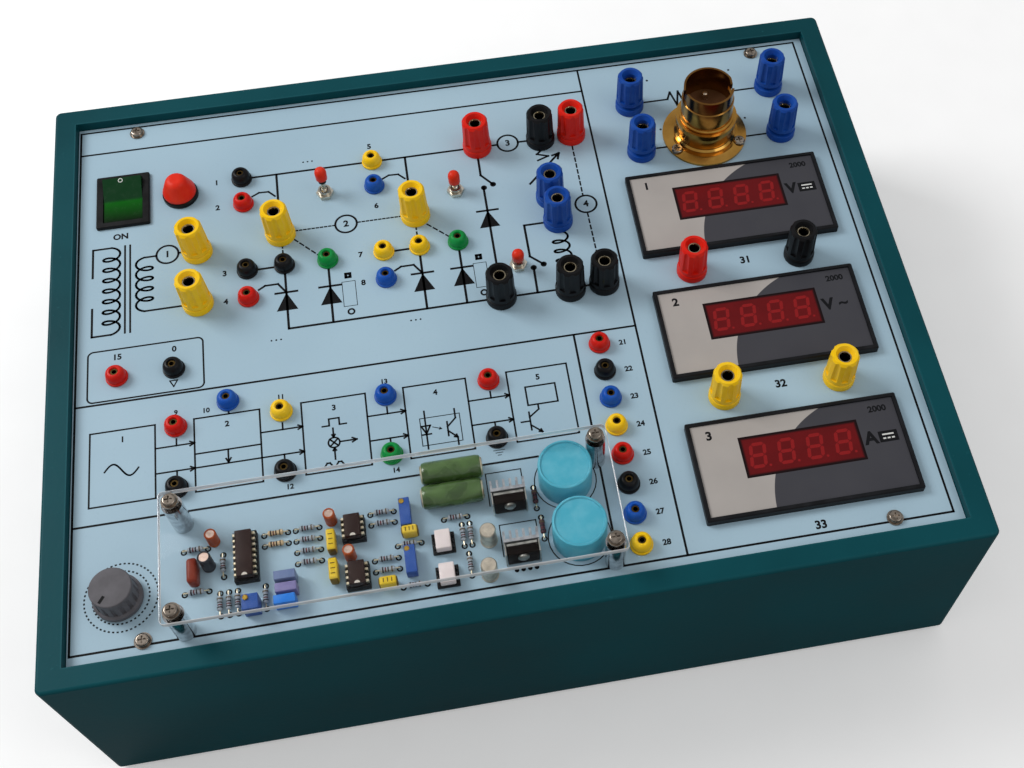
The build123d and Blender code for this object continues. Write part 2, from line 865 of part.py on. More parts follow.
# Toggle nuts on the top face of the panel
toggle_nut = plain_nut(toggle_nut_flats, toggle_nut_height, toggle_hole)
toggle_nuts = copies(toggle_nut, at_height(toggle_places, 0))
save("toggle_nuts", toggle_nuts)


def toggle_lever(reach, collared):
    """A lever about its ball at the origin, with a plastic sleeve on its end."""
    sleeve_foot = reach - toggle_sleeve_length
    with BuildPart() as lever:
        Sphere(toggle_ball_radius)
        with BuildSketch(Plane.XY):
            Circle(toggle_rod_radius)
        extrude(amount=reach - toggle_sleeve_cap)
        if collared:
            with BuildSketch(Plane.XY.offset(sleeve_foot - toggle_collar_height)):
                Circle(toggle_collar_radius)
            extrude(amount=toggle_collar_height)
    with BuildPart() as sleeve:
        with BuildSketch(Plane.XY.offset(sleeve_foot)):
            Circle(toggle_sleeve_radius)
        extrude(amount=toggle_sleeve_length)
        fillet(sleeve.edges().sort_by(Axis.Z)[-1], toggle_sleeve_radius - toggle_tip_flat)
        with BuildSketch(Plane.XY.offset(sleeve_foot)):
            Circle(toggle_rod_radius)
        extrude(amount=toggle_sleeve_length - toggle_sleeve_cap, mode=Mode.SUBTRACT)
    return lever, sleeve


# Toggle levers, each leaning at its end stop
for name, (x, y, reach, lean) in toggles.items():
    lever, sleeve = toggle_lever(reach, name == "mode_lever")
    leaning = [Location((x, y, panel_top + toggle_pivot_rise), (-lean, 0, 0))]
    save(name, copies(lever, leaning), copies(sleeve, leaning))

# Potentiometer: round body below the panel, bushing and nut above it
with BuildPart() as phase_potentiometer:
    with BuildSketch(over_panel(-panel_thickness)):
        with Locations((knob_x, knob_y)):
            Circle(pot_body_radius)
    extrude(amount=-pot_body_drop)
    with BuildSketch(over_panel(-panel_thickness)):
        with Locations((knob_x, knob_y)):
            Circle(pot_bushing_radius)
    extrude(amount=panel_thickness + pot_bushing_rise)
    with BuildSketch(over_panel(pot_bushing_rise)):
        with Locations((knob_x, knob_y)):
            Circle(pot_shaft_radius + bearing_clearance)
    pot_bore_depth = pot_bushing_rise + panel_thickness + pot_body_drop - pot_body_floor
    extrude(amount=-pot_bore_depth, mode=Mode.SUBTRACT)
pot_nut = plain_nut(pot_nut_flats, pot_nut_height, pot_hole)
save("phase_potentiometer", phase_potentiometer, copies(pot_nut, [(knob_x, knob_y, panel_top)]))

# Knob shaft
pot_shaft_bottom = -panel_thickness - pot_body_drop + pot_body_floor + loose_gap
pot_shaft_top = knob_height - knob_crown
with BuildPart() as pot_shaft:
    with BuildSketch(over_panel(pot_shaft_bottom)):
        with Locations((knob_x, knob_y)):
            Circle(pot_shaft_radius)
    extrude(amount=pot_shaft_top - pot_shaft_bottom)
save("pot_shaft", pot_shaft)

# Knob: skirt, grooved grip, and a hollow over the bushing
with BuildPart() as knob_shape:
    with BuildSketch(Plane.XZ):
        with BuildLine():
            Polyline(
                (pot_shaft_radius, knob_hollow_height + knob_lift),
                (pot_shaft_radius, pot_shaft_top),
                (0, pot_shaft_top),
                (0, knob_height),
                (knob_grip_radius, knob_height),
                (knob_grip_radius + knob_grip_taper, knob_lift + knob_skirt_height),
                (knob_skirt_radius, knob_lift + knob_skirt_height - knob_skirt_edge),
                (knob_skirt_radius, knob_lift),
                (knob_hollow_radius, knob_lift),
                (knob_hollow_radius, knob_hollow_height + knob_lift),
                close=True,
            )
        make_face()
    revolve(axis=Axis.Z)
    crown = knob_shape.faces().sort_by(Axis.Z)[-1].edges()
    fillet(crown, knob_crown_edge)
    with BuildSketch(Plane.XY.offset(knob_height - knob_crown)):
        with PolarLocations(knob_grip_radius + knob_groove_offset, knob_grooves):
            Circle(knob_groove_radius)
    extrude(amount=knob_lift + knob_skirt_height + knob_crown - knob_height, mode=Mode.SUBTRACT)
phase_knob = copies(knob_shape, [(knob_x, knob_y, panel_top)])
save("phase_knob", phase_knob)

# Test sockets: domed plastic bodies with a barb below the panel
socket_contact_top = socket_height - socket_contact_recess
socket_barb_seat = -panel_thickness - socket_barb_gap
socket_shape = turned(
    [
        (socket_contact_radius, -socket_body_tail),
        (socket_neck_radius, -socket_body_tail),
        (socket_neck_radius, socket_barb_seat - socket_barb_length),
        (socket_barb_radius, socket_barb_seat),
        (socket_neck_radius, socket_barb_seat),
        (socket_neck_radius, 0),
        (socket_foot_radius, 0),
        (socket_foot_radius, socket_foot_height),
        (socket_belly_radius, socket_belly_height),
        (socket_shoulder_radius, socket_shoulder_height),
        (socket_top_radius, socket_height),
        (socket_mouth_radius, socket_height),
        (socket_contact_radius, socket_contact_top),
    ]
)
test_sockets = copies(socket_shape, at_height(all_sockets, 0))
save("test_sockets", test_sockets)

# Socket contacts: brass tubes, bored to size above the panel and relieved below
contact_shape = turned(
    [
        (socket_bore_radius, socket_bore_floor),
        (socket_bore_radius, socket_contact_top),
        (socket_contact_radius, socket_contact_top),
        (socket_contact_radius, -socket_tail),
        (0, -socket_tail),
        (0, -socket_tail + socket_contact_floor),
        (socket_relief_radius, -socket_tail + socket_contact_floor),
        (socket_relief_radius, socket_bore_floor),
    ]
)
socket_contacts = copies(contact_shape, at_height(all_sockets, 0))
save("socket_contacts", socket_contacts)

# Post bases: a collar with a neck through the panel, and a washer below it
stud_bore = post_stud_radius + bearing_clearance
collar_shape = turned(
    [
        (stud_bore, -panel_thickness),
        (post_neck_radius, -panel_thickness),
        (post_neck_radius, 0),
        (post_collar_radius, 0),
        (post_collar_radius, post_collar_height - post_collar_edge),
        (post_collar_radius - post_collar_edge, post_collar_height),
        (stud_bore, post_collar_height),
    ]
)
under_washer = washer(post_washer_radius, stud_bore, post_washer_thickness)
save(
    "post_bases",
    copies(collar_shape, at_height(all_posts, 0)),
    copies(under_washer, at_height(all_posts, -panel_thickness - post_washer_thickness)),
)

# Post studs: plated tubes with the plug bore, and the nut that clamps them
stud_top = post_height - post_stud_recess
stud_shape = turned(
    [
        (0, -post_stud_tail),
        (post_stud_radius - post_stud_edge, -post_stud_tail),
        (post_stud_radius, -post_stud_tail + post_stud_edge),
        (post_stud_radius, stud_top),
        (post_bore_radius, stud_top),
        (post_bore_radius, stud_top - post_bore_length),
        (0, stud_top - post_bore_length - post_drill_point),
    ]
)
post_nut = plain_nut(post_nut_flats, post_nut_height, stud_bore)
post_nut_foot = -panel_thickness - post_washer_thickness - post_nut_height
save(
    "post_studs",
    copies(stud_shape, at_height(all_posts, 0)),
    copies(post_nut, at_height(all_posts, post_nut_foot)),
)

# Post heads: turning caps with wide flutes, bored for the stud; four stand unscrewed
head_foot = post_collar_height + loose_gap
with BuildPart() as head_shape:
    with BuildSketch(Plane.XZ):
        with BuildLine():
            Polyline(
                (stud_bore, head_foot),
                (post_head_foot_radius, head_foot),
                (post_head_top_radius, post_height - post_head_edge_height),
                (post_head_top_radius - post_head_edge_width, post_height),
                (post_sink_radius, post_height),
                (stud_bore, stud_top),
                close=True,
            )
        make_face()
    revolve(axis=Axis.Z)
    with BuildSketch(Plane.XY.offset(head_foot + post_head_band)):
        with PolarLocations(post_head_foot_radius + post_flute_radius - post_flute_depth, post_flutes):
            Circle(post_flute_radius)
    extrude(amount=post_height - head_foot - post_head_band, mode=Mode.SUBTRACT)
for colour, places in post_places.items():
    for number, (x, y) in enumerate(places, 1):
        lift = post_head_raise if (x, y) in raised_heads else 0.0
        post_head = copies(head_shape, [(x, y, panel_top + lift)])
        save(f"post_head_{colour}_{number}", post_head)

# Meter cases: bezel on the panel and a deep body below it
meter_places = [(meter_x, y) for y in meter_rows]
window_recess = meter_window_thickness + meter_window_recess
with BuildPart() as meter_cases:
    with BuildSketch(over_panel(0)):
        with Locations(*meter_places):
            RectangleRounded(meter_width, meter_depth, meter_corner_radius)
    extrude(amount=meter_bezel_height)
    bezel_tops = meter_cases.faces().group_by(Axis.Z)[-1]
    chamfer(bezel_tops.edges(), meter_edge)
    with BuildSketch(over_panel(meter_bezel_height)):
        with Locations(*meter_places):
            Rectangle(meter_width - 2 * meter_rim, meter_depth - 2 * meter_rim)
    extrude(amount=-window_recess, mode=Mode.SUBTRACT)
    with BuildSketch(over_panel(0)):
        with Locations(*meter_places):
            Rectangle(meter_body_width, meter_body_depth)
    extrude(amount=-meter_body_drop)
save("meter_cases", meter_cases)

# Meter windows: flat plates set in the bezels
with BuildPart() as meter_windows:
    with BuildSketch(over_panel(meter_bezel_height - window_recess)):
        with Locations(*meter_places):
            Rectangle(
                meter_width - 2 * meter_rim - 2 * meter_window_clearance,
                meter_depth - 2 * meter_rim - 2 * meter_window_clearance,
            )
    extrude(amount=meter_window_thickness)
save("meter_windows", meter_windows)

# Lamp holder shell: flange, belly with two beads, and the slotted barrel
lamp_ring_bottom = lamp_body_top + lamp_ring_foot
lamp_relief_top = lamp_insert_top + lamp_pin_rise + lamp_relief_gap
with BuildPart() as lamp_shell_shape:
    with BuildSketch(Plane.XZ):
        with BuildLine():
            Polyline(
                (lamp_seat_radius, 0),
                (lamp_flange_radius, 0),
                (lamp_flange_radius, lamp_flange_edge),
                (lamp_flange_radius - lamp_flange_slope, lamp_flange_height),
                (lamp_root_radius, lamp_flange_height),
                (lamp_root_radius - lamp_root_step, lamp_root_height),
                (lamp_body_radius, lamp_body_foot),
                (lamp_body_radius, lamp_body_top),
                (lamp_bead_radius, lamp_body_top + lamp_bead_foot),
                (lamp_bead_radius, lamp_body_top + lamp_bead_top),
                (lamp_lower_barrel_radius, lamp_body_top + lamp_barrel_foot),
                (lamp_ring_radius, lamp_ring_bottom),
                (lamp_ring_radius, lamp_ring_bottom + lamp_ring_height),
                (lamp_lower_barrel_radius, lamp_ring_bottom + lamp_ring_height + lamp_ring_edge),
                (lamp_lower_barrel_radius, lamp_lower_barrel_top),
                (lamp_barrel_radius, lamp_lower_barrel_top + lamp_ring_edge),
                (lamp_barrel_radius, lamp_height),
                (lamp_bore_radius, lamp_height),
                (lamp_bore_radius, lamp_relief_top),
                (lamp_relief_radius, lamp_relief_top),
                (lamp_relief_radius, lamp_insert_top + lamp_insert_clearance),
                (lamp_seat_radius, lamp_insert_top + lamp_insert_clearance),
                close=True,
            )
        make_face()
    revolve(axis=Axis.Z)
    with BuildSketch(Plane.YZ):
        with BuildLine():
            Polyline(
                (-lamp_mouth_width / 2, lamp_height),
                (lamp_mouth_width / 2, lamp_height),
                (lamp_slot_width / 2, lamp_height - lamp_mouth_drop),
                (lamp_slot_width / 2, lamp_height - lamp_slot_drop),
                (-lamp_slot_width / 2, lamp_height - lamp_slot_drop),
                (-lamp_slot_width / 2, lamp_height - lamp_mouth_drop),
                close=True,
            )
        make_face()
    extrude(amount=lamp_ring_radius, both=True, mode=Mode.SUBTRACT)
    for side in (0, 180):
        with BuildSketch(Plane.XY.offset(lamp_height - lamp_slot_drop)):
            with BuildLine():
                Polyline(
                    (0, 0),
                    Vector(lamp_body_radius, 0).rotate(Axis.Z, side),
                    Vector(lamp_body_radius, 0).rotate(Axis.Z, side + lamp_slot_hook),
                    close=True,
                )
            make_face()
            Circle(lamp_bore_radius - lamp_insert_clearance, mode=Mode.SUBTRACT)
        extrude(amount=lamp_slot_width, mode=Mode.SUBTRACT)
    with BuildSketch(Plane.XY.offset(lamp_flange_edge)):
        with PolarLocations(lamp_screw_circle, 3, start_angle=90):
            Circle(screw_head_radius + lamp_screw_pocket)
    extrude(amount=screw_head_height + 2 * lamp_screw_pocket, mode=Mode.SUBTRACT)
    with BuildSketch(Plane.XY):
        with PolarLocations(lamp_screw_circle, 3, start_angle=90):
            Circle(screw_hole_radius)
    extrude(amount=lamp_flange_edge, mode=Mode.SUBTRACT)
lamp_holder_shell = copies(lamp_shell_shape, [(lamp_x, lamp_y, panel_top)])
save("lamp_holder_shell", lamp_holder_shell)

# Lamp holder insert: insulating core with two blind guides for the contacts
lamp_pin_top = lamp_insert_top + lamp_pin_rise
lamp_pin_bottom = lamp_pin_top - lamp_pin_length
with BuildPart() as lamp_holder_insert:
    with BuildSketch(over_panel(0)):
        with Locations((lamp_x, lamp_y)):
            Circle(lamp_seat_radius - lamp_insert_clearance)
    extrude(amount=lamp_insert_top)
    with BuildSketch(over_panel(lamp_insert_top)):
        with Locations(*lamp_pin_places):
            Circle(lamp_pin_radius + bearing_clearance)
    guide_drop = lamp_insert_top - lamp_pin_bottom + lamp_pin_travel + lamp_guide_floor
    extrude(amount=-guide_drop, mode=Mode.SUBTRACT)
save("lamp_holder_insert", lamp_holder_insert)

# Lamp contacts: round spring plungers with domed tips
for name, (x, y) in zip(("lamp_contact_front", "lamp_contact_rear"), lamp_pin_places):
    with BuildPart() as plunger:
        with BuildSketch(over_panel(lamp_pin_bottom)):
            with Locations((x, y)):
                Circle(lamp_pin_radius)
        extrude(amount=lamp_pin_length)
        fillet(plunger.edges().sort_by(Axis.Z)[-1], lamp_pin_dome)
    save(name, plunger)

# Clear cover sheet
with BuildPart() as cover_sheet:
    with BuildSketch(over_panel(pillar_height)):
        with Locations((cover_x, cover_y)):
            RectangleRounded(cover_width, cover_depth, cover_corner_radius)
        with Locations(*pillar_places):
            Circle(screw_hole_radius, mode=Mode.SUBTRACT)
    extrude(amount=cover_thickness)
save("cover_sheet", cover_sheet)

# Cover pillars: a spigot riveted into the panel below, a tapped hole above
with BuildPart() as pillar_shape:
    with BuildSketch(Plane.XY):
        Circle(pillar_radius)
    extrude(amount=pillar_height)
    with BuildSketch(Plane.XY):
        Circle(pillar_spigot_radius)
    extrude(amount=-panel_thickness)
    with BuildSketch(Plane.XY.offset(pillar_height)):
        Circle(screw_hole_radius)
    extrude(amount=-pillar_tap_depth, mode=Mode.SUBTRACT)
save("cover_pillars", copies(pillar_shape, at_height(pillar_places, 0)))


can_edge = 0.4


def blocks(places, width, depth, height, foot=0.0, radius=0.0):
    """Upright blocks of one size, standing on the panel or at a height over it."""
    with BuildPart() as group:
        with BuildSketch(over_panel(foot)):
            with Locations(*places):
                Rectangle(width, depth)
        extrude(amount=height)
        if radius:
            fillet(group.edges().filter_by(Axis.Z), radius)
    return group


def cans(places, radius, height, edge=can_edge):
    """Upright round cans standing on the panel, with a softened top edge."""
    with BuildPart() as group:
        with BuildSketch(over_panel(0)):
            with Locations(*places):
                Circle(radius)
        extrude(amount=height)
        fillet(group.faces().group_by(Axis.Z)[-1].edges(), edge)
    return group


# Semiconductors: chips in sockets, optocouplers, power transistors and round cans
long_chip = [(-114.4, -106.6)]
short_chips = [(-69.3, -101.9), (-69.2, -123.3)]
optocouplers = [(-32.7, -114.2), (-32.7, -129.3)]
power_transistors = [(-2.8, -102.4), (-0.6, -126.2)]
round_cans = [(-13.7, -115.6), (-15.3, -131.0)]
chip_width = 7.0
chip_height = 4.0
chip_socket_width = 10.0
chip_socket_height = 4.0
long_chip_length = 20.5
long_socket_length = 22.0
short_chip_length = 10.2
short_socket_length = 11.0
opto_width = 6.6
opto_length = 8.8
opto_height = 5.0
opto_socket_length = 9.4
opto_socket_height = 2.0
transistor_width = 13.5
transistor_depth = 5.5
transistor_height = 12.0
transistor_corner = 0.6
can_radius = 3.75
can_height = 11.0
save(
    "semiconductors",
    blocks(long_chip, chip_socket_width, long_socket_length, chip_socket_height),
    blocks(long_chip, chip_width, long_chip_length, chip_height, chip_socket_height),
    blocks(short_chips, chip_socket_width, short_socket_length, chip_socket_height),
    blocks(short_chips, chip_width, short_chip_length, chip_height, chip_socket_height),
    blocks(optocouplers, chip_socket_width, opto_socket_length, opto_socket_height),
    blocks(optocouplers, opto_width, opto_length, opto_height, opto_socket_height),
    blocks(
        power_transistors,
        transistor_width,
        transistor_depth,
        transistor_height,
        radius=transistor_corner,
    ),
    cans(round_cans, can_radius, can_height),
)

# Heat sinks: a back plate with fins, behind each power transistor
sink_width = 14.8
sink_plate = 1.4
sink_depth = 5.0
sink_height = 13.0
sink_fins = 6
fin_thickness = 1.0
with BuildPart() as heat_sinks:
    for x, y in power_transistors:
        plate_front = y + transistor_depth / 2
        with BuildSketch(over_panel(0)):
            with Locations((x, plate_front + sink_plate / 2)):
                Rectangle(sink_width, sink_plate)
            with Locations((x, plate_front + sink_depth / 2)):
                with GridLocations((sink_width - fin_thickness) / (sink_fins - 1), 0, sink_fins, 1):
                    Rectangle(fin_thickness, sink_depth)
        extrude(amount=sink_height)
save("heat_sinks", heat_sinks)

# Capacitors: small cans, dipped blocks and box types
small_can_radius = 2.5
small_can_height = 9.0
tall_can_radius = 2.75
tall_can_height = 11.0
dipped_round = 1.2
dipped_width = 4.6
dipped_length = 11.0
film_round = 1.0
film_height = 7.0
film_thickness = 4.0
box_round = 0.3
box_length = 9.0
box_thickness = 4.0
box_height = 8.0
box_places = [(-98.4, -119.2), (-98.2, -124.6), (-99.0, -129.7)]
save(
    "capacitors",
    cans([(-127.6, -96.5), (-78.4, -95.6), (-71.6, -113.3)], small_can_radius, small_can_height),
    cans([(-130.0, -107.4)], tall_can_radius, tall_can_height),
    blocks([(-135.8, -110.7)], dipped_width, dipped_length, box_height, radius=dipped_round),
    blocks([(-78.7, -106.4), (-78.7, -119.6)], film_thickness, 10.4, film_height, radius=film_round),
    blocks([(-45.9, -107.4)], 7.3, film_thickness, film_height, radius=film_round),
    blocks([(-57.0, -128.6)], 8.0, film_thickness, film_height, radius=film_round),
    blocks(box_places, box_length, box_thickness, box_height, radius=box_round),
)

# Trimmers: flat boxes with the screw at one end, and one upright one
flat_trimmer_width = 4.8
flat_trimmer_length = 12.8
flat_trimmer_height = 6.4
upright_trimmer_width = 6.8
upright_trimmer_length = 7.0
upright_trimmer_height = 10.0
flat_trimmers = blocks(
    [(-47.0, -98.7), (-46.9, -120.6)],
    flat_trimmer_width,
    flat_trimmer_length,
    flat_trimmer_height,
    radius=box_round,
)
upright_trimmer = blocks(
    [(-112.6, -129.0)],
    upright_trimmer_width,
    upright_trimmer_length,
    upright_trimmer_height,
    radius=box_round,
)
save("trimmers", flat_trimmers, upright_trimmer)

# Resistors: small axial ones on bent leads, and two wirewound ones lying on X
resistor_radius = 1.2
resistor_length = 6.4
resistor_reach = 5.0
resistor_axis = 1.6
resistor_edge = 0.4
lead_radius = 0.3
wirewound_radius = 5.25
wirewound_length = 27.0
wirewound_edge = 1.0
resistors_along_x = [
    (-135.4, -99.1),
    (-135.4, -118.2),
    (-101.9, -97.3),
    (-101.9, -102.3),
    (-88.7, -97.3),
    (-88.7, -102.3),
    (-88.7, -107.5),
    (-88.7, -112.6),
    (-57.0, -95.4),
    (-57.0, -100.4),
    (-57.0, -116.9),
    (-57.0, -121.9),
    (-46.4, -130.5),
    (-46.9, -111.8),
    (-26.4, -103.1),
]
resistors_along_y = [
    (-124.2, -108.0),
    (-126.0, -125.0),
    (-122.4, -125.0),
    (-118.8, -125.0),
    (-107.4, -125.0),
    (-24.2, -111.5),
    (-20.9, -111.5),
    (-22.8, -125.2),
    (8.3, -99.6),
    (9.4, -114.0),
]
wirewound_places = [(-25.3, -82.9), (-26.2, -93.9)]
with BuildPart() as axial_resistor:
    with BuildSketch(Plane.YZ.offset(-resistor_length / 2)):
        with Locations((0, resistor_axis)):
            Circle(resistor_radius)
    extrude(amount=resistor_length)
    fillet(axial_resistor.edges().filter_by(GeomType.CIRCLE), resistor_edge)
    with BuildSketch(Plane.YZ.offset(-resistor_reach)):
        with Locations((0, resistor_axis)):
            Circle(lead_radius)
    extrude(amount=2 * resistor_reach)
    with BuildSketch(Plane.XY):
        with GridLocations(2 * resistor_reach, 0, 2, 1):
            Circle(lead_radius)
    extrude(amount=resistor_axis)
with BuildPart() as wirewound:
    with BuildSketch(Plane.YZ.offset(-wirewound_length / 2)):
        with Locations((0, wirewound_radius)):
            Circle(wirewound_radius)
    extrude(amount=wirewound_length)
    fillet(wirewound.edges().filter_by(GeomType.CIRCLE), wirewound_edge)
save(
    "resistors",
    copies(axial_resistor, at_height(resistors_along_x, 0)),
    copies(axial_resistor, [Location((x, y, panel_top), (0, 0, 90)) for x, y in resistors_along_y]),
    copies(wirewound, at_height(wirewound_places, 0)),
)

# Pulse transformers: potted round cans
pulse_radius = 11.6
pulse_height = 16.0
pulse_edge = 0.8
pulse_transformers = cans([(22.5, -93.5), (24.3, -120.3)], pulse_radius, pulse_height, pulse_edge)
save("pulse_transformers", pulse_transformers)

# Mains transformer core: a laminated stack with two windows
core_foot = cover_plate_top
with BuildPart() as transformer_core:
    with BuildSketch(Plane.XZ.offset(-transformer_y - core_stack / 2)):
        with Locations((transformer_x, core_foot + core_height / 2)):
            Rectangle(core_width, core_height)
            with GridLocations(core_leg + core_window_width, 0, 2, 1):
                Rectangle(core_window_width, core_window_height, mode=Mode.SUBTRACT)
    extrude(amount=core_stack)
save("transformer_core", transformer_core)

# Mains transformer winding: a coil block around the middle leg
winding_width = core_leg + 2 * core_window_width - 2 * winding_clearance
winding_depth = core_stack + 2 * winding_overhang
winding_height = core_window_height - 2 * winding_clearance
with BuildPart() as transformer_winding:
    with BuildSketch(Plane.XY.offset(core_foot + (core_height - winding_height) / 2)):
        with Locations((transformer_x, transformer_y)):
            RectangleRounded(winding_width, winding_depth, winding_corner)
            Rectangle(
                core_leg + 2 * winding_clearance,
                core_stack + 2 * winding_clearance,
                mode=Mode.SUBTRACT,
            )
    extrude(amount=winding_height)
save("transformer_winding", transformer_winding)
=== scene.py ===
"""Power electronics training bench: the finished look of every piece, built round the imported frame.

Lengths are metres in the frame's own axes: X to the right, Y to the back wall, Z up,
with the origin on the table under the middle of the case.
"""

import math
from functools import partial

import bmesh
import bpy
from mathutils import Matrix, Vector


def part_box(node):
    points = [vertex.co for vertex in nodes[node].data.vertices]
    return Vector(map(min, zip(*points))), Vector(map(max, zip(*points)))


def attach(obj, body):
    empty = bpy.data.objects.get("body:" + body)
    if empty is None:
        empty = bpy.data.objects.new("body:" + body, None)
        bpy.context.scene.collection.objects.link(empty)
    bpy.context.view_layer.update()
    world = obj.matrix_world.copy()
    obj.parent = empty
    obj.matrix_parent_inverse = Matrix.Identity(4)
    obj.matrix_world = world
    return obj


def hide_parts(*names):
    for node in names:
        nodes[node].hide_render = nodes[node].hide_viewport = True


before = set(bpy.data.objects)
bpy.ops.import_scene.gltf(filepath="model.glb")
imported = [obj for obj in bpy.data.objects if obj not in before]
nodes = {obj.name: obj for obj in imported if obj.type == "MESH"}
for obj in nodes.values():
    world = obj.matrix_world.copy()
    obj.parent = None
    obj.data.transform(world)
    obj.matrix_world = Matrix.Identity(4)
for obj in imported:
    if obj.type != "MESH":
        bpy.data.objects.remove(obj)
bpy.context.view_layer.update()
mm = 0.001

# Camera.
# The shot is taken by hand from the front edge, half a metre over the panel,
# turned a little to the right. The view centre sits off the middle of the picture.
camera_data = bpy.data.cameras.new("camera")
camera_data.sensor_width = 36
camera_data.lens = 47.35
camera_data.shift_x = -0.0840
camera_data.shift_y = -0.0195
camera = bpy.data.objects.new("camera", camera_data)
camera.location = (-0.0111, -0.3484, 0.6325)
camera.rotation_euler = [math.radians(angle) for angle in (30.985, -0.268, -10.113)]
bpy.context.scene.collection.objects.link(camera)
bpy.context.scene.camera = camera
bpy.context.scene.view_settings.view_transform = "Standard"

# Studio light.
# A white sky fills in evenly, one wide soft box stands high at the back left and
# a weaker one at the front right.
def feed(node, **inputs):
    """Sets inputs of a node, each to a plain value or to an output of another node."""
    for name, value in inputs.items():
        socket = node.inputs[name.replace("_", " ")]
        if isinstance(value, bpy.types.NodeSocket):
            node.id_data.links.new(value, socket)
        else:
            socket.default_value = value


def new_result(source, kind, result, **inputs):
    """A result of a new node, in the tree that its source belongs to."""
    node = source.id_data.nodes.new(f"ShaderNode{kind}")
    feed(node, **inputs)
    return node.outputs[result]


def remap(value, from_low, from_high, low, high):
    """A value moved from one range to another and held inside it."""
    ranges = {"From_Min": from_low, "From_Max": from_high, "To_Min": low, "To_Max": high}
    return new_result(value, "MapRange", "Result", Value=value, **ranges)


white = (1, 1, 1, 1)
sky = bpy.data.worlds.new("sky")
sky.use_nodes = True
sky_ray = sky.node_tree.nodes.new("ShaderNodeLightPath").outputs["Is Camera Ray"]
feed(sky.node_tree.nodes["Background"], Color=white, Strength=remap(sky_ray, 0, 1, 0.5, 1))
bpy.context.scene.world = sky


def soft_box(name, place, target, width, power):
    """A square area lamp aimed at a point."""
    lamp = bpy.data.lights.new(name, "AREA")
    lamp.size = width
    lamp.energy = power
    holder = bpy.data.objects.new(name, lamp)
    holder.location = place
    holder.rotation_euler = (Vector(target) - Vector(place)).to_track_quat("-Z", "Y").to_euler()
    bpy.context.scene.collection.objects.link(holder)


case_middle = (0, 0, 0.1)
soft_box("soft_box_back", (-1.05, 0.6, 1.2), case_middle, 0.7, 15)
soft_box("soft_box_front", (0.9, -0.5, 1.3), case_middle, 0.8, 2.5)


# Floor.
# A plain white sweep under the case. It shows white to the camera and keeps the
# object's shadow; the extra white is on camera rays only and lights nothing.
def new_material(name):
    """A material and the coordinates of the piece that wears it."""
    material = bpy.data.materials.new(name)
    material.use_nodes = True
    return material, material.node_tree.nodes.new("ShaderNodeTexCoord").outputs["Object"]


def surface(material, colour, rough, relief=None, **others):
    """Feeds the shader of a material and hands the material back."""
    shader = material.node_tree.nodes["Principled BSDF"]
    feed(shader, Base_Color=colour, Roughness=rough, **others)
    if relief:
        feed(shader, Normal=relief)
    return material


def noise(place, scale, detail=3):
    """A soft noise from 0 to 1, with scale in lumps per metre."""
    return new_result(place, "TexNoise", "Fac", Vector=place, Scale=scale, Detail=detail)


def linear(code):
    """A colour written as six hex digits, in the linear values that a shader takes."""
    parts = [int(code[i : i + 2], 16) / 255 for i in (1, 3, 5)]
    return [c / 12.92 if c <= 0.04045 else ((c + 0.055) / 1.055) ** 2.4 for c in parts] + [1]


def blend(factor, low, high):
    """One colour at 0 and another at 1, each a hex code or an output of a node."""
    node = factor.id_data.nodes.new("ShaderNodeMix")
    node.data_type = "RGBA"
    low, high = (linear(colour) if isinstance(colour, str) else colour for colour in (low, high))
    feed(node, Factor=factor, A=low, B=high)
    return node.outputs["Result"]


def floor_finish():
    material, place = new_material("studio_floor")
    camera_ray = place.id_data.nodes.new("ShaderNodeLightPath").outputs["Is Camera Ray"]
    pale = blend(noise(place, 40), "#EDEDED", "#F4F4F4")
    colour = blend(camera_ray, "#8C8C8C", pale)
    glow = remap(camera_ray, 0, 1, 0, 0.22)
    return surface(material, colour, 0.9, Emission_Color=white, Emission_Strength=glow)


def shape_to_mesh(shape, name):
    """A mesh made from a finished shape, which is then let go."""
    mesh = bpy.data.meshes.new(name)
    shape.to_mesh(mesh)
    shape.free()
    return mesh


floor_half = 3
sweep = bmesh.new()
bmesh.ops.create_grid(sweep, x_segments=1, y_segments=1, size=floor_half)
floor_mesh = shape_to_mesh(sweep, "floor")
floor_mesh.materials.append(floor_finish())
floor = bpy.data.objects.new("floor", floor_mesh)
bpy.context.scene.collection.objects.link(floor)


# Case shell.
# Folded steel sheet, welded at the corners and painted dark teal in a satin coat
# that pools a little, with finer grain on the flanks and lighter edges on the rim, which are rubbed wear
# and also a painted highlight.
def bump(height, strength, depth):
    """A normal from a height, with the depth of the relief in metres."""
    return new_result(height, "Bump", "Normal", Strength=strength, Distance=depth, Height=height)


def rubbed_edges(place, radius, high):
    """Rises to a high value near convex edges, from how open the surface is; the lighter tint it brings
    there is edge wear and also a painted highlight.
    """
    tree = place.id_data
    corner = tree.nodes.new("ShaderNodeBevel")
    corner.samples = 4
    feed(corner, Radius=radius)
    facing = tree.nodes.new("ShaderNodeNewGeometry").outputs["Normal"]
    dot = tree.nodes.new("ShaderNodeVectorMath")
    dot.operation = "DOT_PRODUCT"
    tree.links.new(corner.outputs["Normal"], dot.inputs[0])
    tree.links.new(facing, dot.inputs[1])
    return remap(dot.outputs["Value"], 1, 0.9, 0, high)


def case_paint(name, deep, fresh, wear_and_edge_light):
    material, place = new_material(name)
    cloud = noise(place, 9, 5)
    grain = noise(place, 420, 4)
    colour = blend(remap(cloud, 0.35, 0.7, 0, 1), deep, fresh)
    colour = blend(remap(grain, 0.66, 0.8, 0, 0.35), colour, wear_and_edge_light)
    # Lighter rim edges: partly rubbed wear, partly a painted highlight.
    colour = blend(rubbed_edges(place, 1.2 * mm, 0.45), colour, wear_and_edge_light)
    gloss, relief = remap(cloud, 0.3, 0.7, 0.34, 0.5), bump(grain, 0.35, 0.12 * mm)
    return surface(material, colour, gloss, relief, Specular_IOR_Level=0.1)


